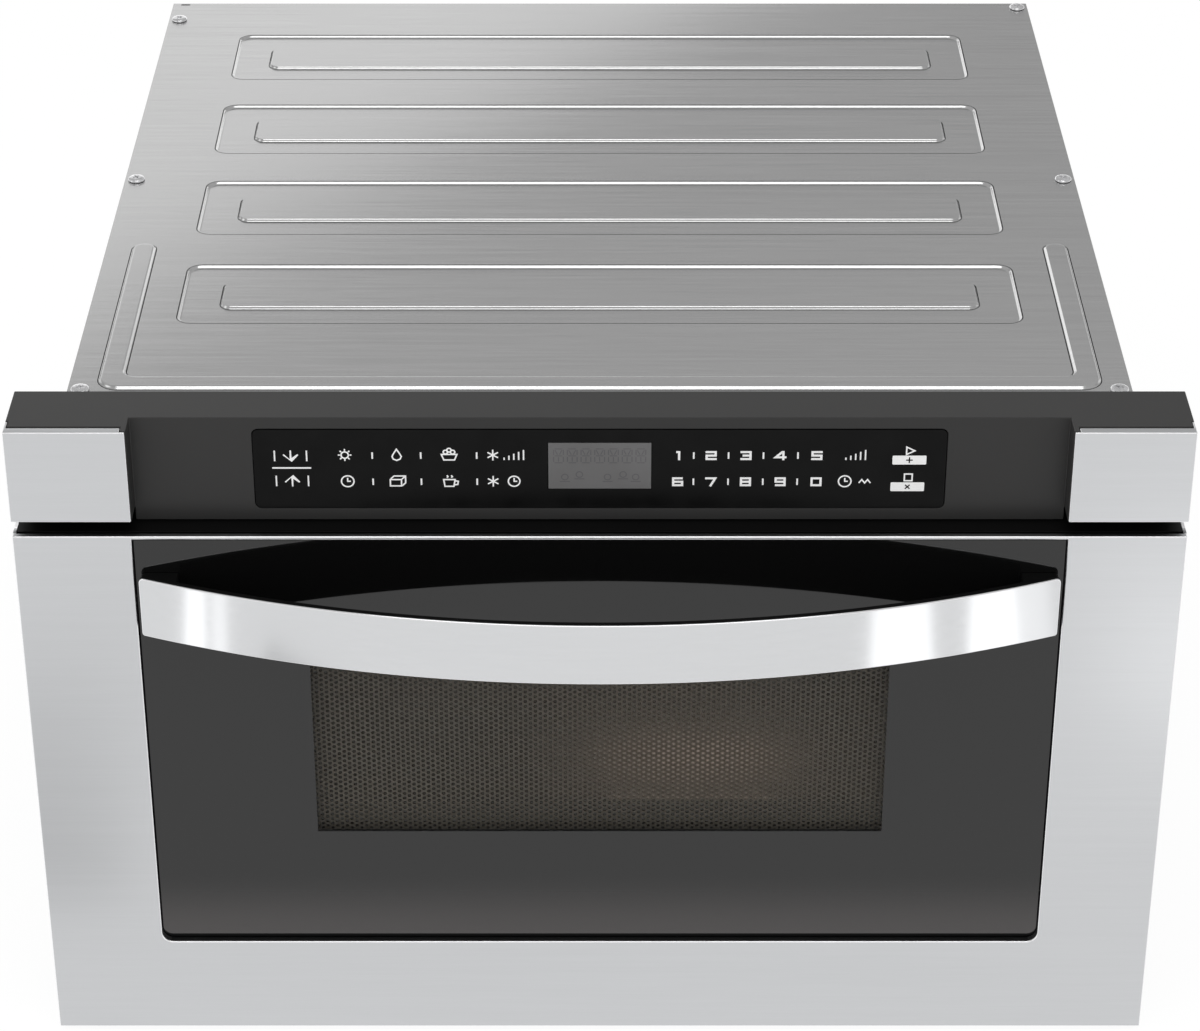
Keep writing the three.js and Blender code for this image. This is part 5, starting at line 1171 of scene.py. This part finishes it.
# %% [markdown]
# The other keys get small pictograms of what such keys do: arrows that open and close the
# drawer, a dial, a drop, a bowl, a snowflake, a clock, a cup, rising bars, and the usual
# triangle and square over their two white bars.

# %% Pictograms
ICON = 1.25
HIGH = ROW_HIGH + 0.3
LOW = ROW_LOW + 0.3
icons = bmesh.new()


def draw(points, at, closed=False):
    stroke(icons, [(x * ICON, y * ICON) for x, y in points], at, closed)


def spokes(at, turns, near, far):
    for turn in turns:
        c, s = math.cos(math.radians(turn)), math.sin(math.radians(turn))
        draw([(near * c, near * s), (far * c, far * s)], at)


def arrow(at, flip):
    draw([(-3.0, -0.6 * flip), (0.0, 2.2 * flip), (3.0, -0.6 * flip)], at)
    for x, low, high in ((0.0, 2.2 * flip, -2.6 * flip), (-6.6, -2.5, 2.5), (6.6, -2.5, 2.5)):
        draw([(x, low), (x, high)], at)


def clock(at, radius=2.6):
    circle(icons, at, ICON * radius, 20)
    draw([(0.0, 1.6), (0.0, 0.0), (1.3, 0.0)], at)


def snowflake(at):
    spokes(at, (90, 150, 210), -2.5, 2.5)


def dial(at):
    circle(icons, at, ICON * 1.5, 20)
    spokes(at, range(0, 360, 45), 1.9, 2.8)


def drop(at):
    left = [(-1.3, 0.6), (-1.9, -0.7), (-1.4, -1.9)]
    right = [(-x, y) for x, y in reversed(left)]
    draw([(0.0, 2.7), *left, (0.0, -2.5), *right], at, closed=True)


def cup(at):
    draw([(-2.6, 0.8), (-2.1, -2.4), (1.6, -2.4), (2.1, 0.8), (-2.6, 0.8)], at)
    draw([(2.0, 0.2), (3.4, 0.0), (3.2, -1.5), (1.8, -1.7)], at)
    for x in (-1.2, 0.6):
        draw([(x, 1.6), (x + 0.4, 2.2), (x, 2.8)], at)


def bowl(at):
    draw([(-3.2, 0.3), (-2.2, -2.3), (2.2, -2.3), (3.2, 0.3), (-3.2, 0.3)], at)
    for x, y in ((-1.5, 1.4), (1.5, 1.4), (0.0, 2.3)):
        circle(icons, (at[0] + x * ICON, at[1] + y * ICON), 0.9 * ICON, 10)


def block_of_butter(at):
    draw([(-3.0, -2.2), (1.6, -2.2), (1.6, 0.8), (-3.0, 0.8)], at, closed=True)
    draw([(-2.8, 1.1), (-1.4, 2.5), (3.3, 2.5), (3.3, -0.7), (1.9, -2.1)], at)
    draw([(1.8, 1.0), (3.1, 2.3)], at)


def bars(at):
    for index in range(5):
        x = -4.0 + 2.0 * index
        draw([(x, -2.3), (x, -1.2 + index * 0.9)], at)


arrow((key_x(290.7), 362.0), -1.0)
arrow((key_x(291.4), 347.2), 1.0)
for picture, column, row in (
    (dial, 344.9, HIGH),
    (drop, 396.8, HIGH),
    (bowl, 449.3, HIGH),
    (snowflake, 493.0, HIGH),
    (bars, 514.0, HIGH),
    (clock, 346.9, LOW),
    (block_of_butter, 397.0, LOW),
    (cup, 449.6, LOW),
    (snowflake, 493.0, LOW),
    (bars, 856.0, HIGH),
    (clock, 846.0, LOW),
):
    picture((key_x(column), row))
clock((key_x(514.0), LOW), 2.4)
draw([(-2.4, -0.8), (-1.2, 0.8), (0.0, -0.8), (1.2, 0.8), (2.4, -0.8)], (key_x(866.0), LOW))
stroke(icons, [(-1.9, -2.2), (2.3, 0.0), (-1.9, 2.2)], (key_x(910.4), 365.0), closed=True)
square = [(-2.0, -2.0), (2.0, -2.0), (2.0, 2.0), (-2.0, 2.0)]
stroke(icons, square, (key_x(909.6), 349.3), closed=True)
print_marks("printed_pictograms", icons, 0.75)

# %% The two white bars
BAR_HALF = (8.7, 2.6)
bars_bm = bmesh.new()
for column, level in ((909.9, 459.9), (909.1, 486.7)):
    x, z = key_x(column), ROW_HIGH - (level - 455.4) * 0.59
    (w, h) = BAR_HALF
    plate(bars_bm, (x - w, x + w), (z - h, z + h), 0.5, segments=3)
bars_faces = bars_bm.faces[:]
stand_up(bars_bm, touch_low.y - MARK_DEPTH + SINK)
slab(bars_bm, bars_faces, MARK_DEPTH)
make_piece("printed_bars", bars_bm, "white_plastic", "cabinet", finish="printed_white_painted_glow")

signs = bmesh.new()
for at, reach_x, reach_z in (
    ((key_x(909.9), ROW_HIGH - 2.655), (1.7, 0.0), (0.0, 1.7)),
    ((key_x(909.1), ROW_HIGH - 18.467), (1.2, 1.2), (-1.2, 1.2)),
):
    for x, z in (reach_x, reach_z):
        stroke(signs, [(-x, -z), (x, z)], at)
sign_y = touch_low.y - MARK_DEPTH - 0.01
print_marks("printed_signs", signs, 0.7, "black_plastic", None, SINK, sign_y)

# %% [markdown]
# ## Display
#
# With the power off, a liquid-crystal window still shows its segments as faint darker shapes.
# Seven cells stand in its upper half and a few small signs below them.

# %% Ghost segments
CELL_STEP = 7.05
lcd_low, lcd_high = box_mm("display_lcd")
ghosts = bmesh.new()
w, h = 2.5, 4.1
for index in range(7):
    at = (lcd_low.x + 5.3 + index * CELL_STEP, lcd_high.z - 3.4 - h)
    for level in (-h, 0.0, h):
        stroke(ghosts, [(-w + 0.5, level), (w - 0.5, level)], at)
    for side in (-w, w):
        stroke(ghosts, [(side, 0.5), (side, h - 0.5)], at)
        stroke(ghosts, [(side, -0.5), (side, 0.5 - h)], at)
    for lean in (-1.0, 1.0):
        stroke(ghosts, [(0.5 * lean, 0.7), (lean * (w - 0.7), h - 0.7)], at)
    stroke(ghosts, [(0.0, -0.7), (0.0, 0.7 - h)], at)
for index, x in enumerate((-18.0, -10.5, 4.0, 12.0, 18.5)):
    at = (x, lcd_low.z + 7.0 + (index % 2) * 1.5)
    circle(ghosts, at, 1.7, 12)
    stroke(ghosts, [(-2.6, -2.6), (2.6, -2.6)], at)
print_marks("display_segments", ghosts, 0.55, "display_grey", "display_ghost", 0.05, lcd_low.y)

# %% [markdown]
# ## Edges of the other solids
#
# The remaining solids have the right shape but razor-sharp edges, and no real edge is. Their
# triangles are merged into flat faces again and every corner gets a small rounding, which is
# what catches the light. The copy takes the solid's place.

# %% Round the edges of a solid
slot_of = {name: node.data.materials[0].name.split(".")[0] for name, node in nodes.items()}


def refined(node, width):
    """A copy of a solid with softened edges."""
    bm = bmesh.new()
    bm.from_mesh(nodes[node].data)
    bmesh.ops.scale(bm, vec=(1 / MM, 1 / MM, 1 / MM), verts=bm.verts)
    bmesh.ops.remove_doubles(bm, verts=bm.verts, dist=0.01)
    flat = {"angle_limit": math.radians(1.0), "use_dissolve_boundaries": False}
    bmesh.ops.dissolve_limit(bm, verts=bm.verts, edges=bm.edges, **flat)
    soften(bm, corners_of(bm), width)
    body = nodes[node]["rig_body"]
    make_piece(f"{node}_softened", bm, slot_of[node], body, [node], sharp=50)


SOFTENED = [
    (0.2, "touch_panel display_lcd control_board stirrer_cover oven_lamp"),
    (0.25, "base_pan side_panel_* rear_panel front_frame mounting_flange_*"),
    (0.25, "oven_cavity waveguide outer_rail_* fan_shroud"),
    (0.35, "interlock_switch_* lamp_socket"),
    (0.6, "trim_cap_*"),
    (0.5, "control_panel_housing magnetron stirrer_motor hv_transformer"),
    (0.5, "hv_capacitor fan_motor power_inlet drive_motor"),
    (0.2, "latch_hook_* rack_gear"),
    (0.25, "door_carrier door_inner_panel drawer_tub inner_rail_*"),
    (0.4, "inner_window choke_cover"),
    (1.0, "ceramic_tray"),
    (0.25, "mid_rail_*"),
    (0.2, "drive_pinion stirrer"),
    (0.25, "fan_blade"),
]
for width, names in SOFTENED:
    for name in names.split():
        for side in ("left", "right") if "*" in name else ("",):
            refined(name.replace("*", side), width)

# %% [markdown]
# ## Finish the solids
#
# Every solid is also given its finish, which goes into the solid's own material slot.

# %% Assign the finishes
for name, node in nodes.items():
    node.data.materials[0] = finishes[slot_of[name]]
print("solids with a finish:", len(nodes))

# %% [markdown]
# ### Flat faces that shade flat
#
# A rounded edge shares its points with the flat face beside it, and smooth shading would bend
# that face's reflection. A Weighted Normal modifier lets the larger face decide, so the flat
# faces mirror like flat metal and only the roundings turn the light.

# %% Even out the shading
for piece in made_pieces.values():
    even = piece.modifiers.new("even_shading", "WEIGHTED_NORMAL")
    even.mode = "FACE_AREA"
    even.weight = 100
    even.keep_sharp = True
print("pieces with even shading:", len(made_pieces))
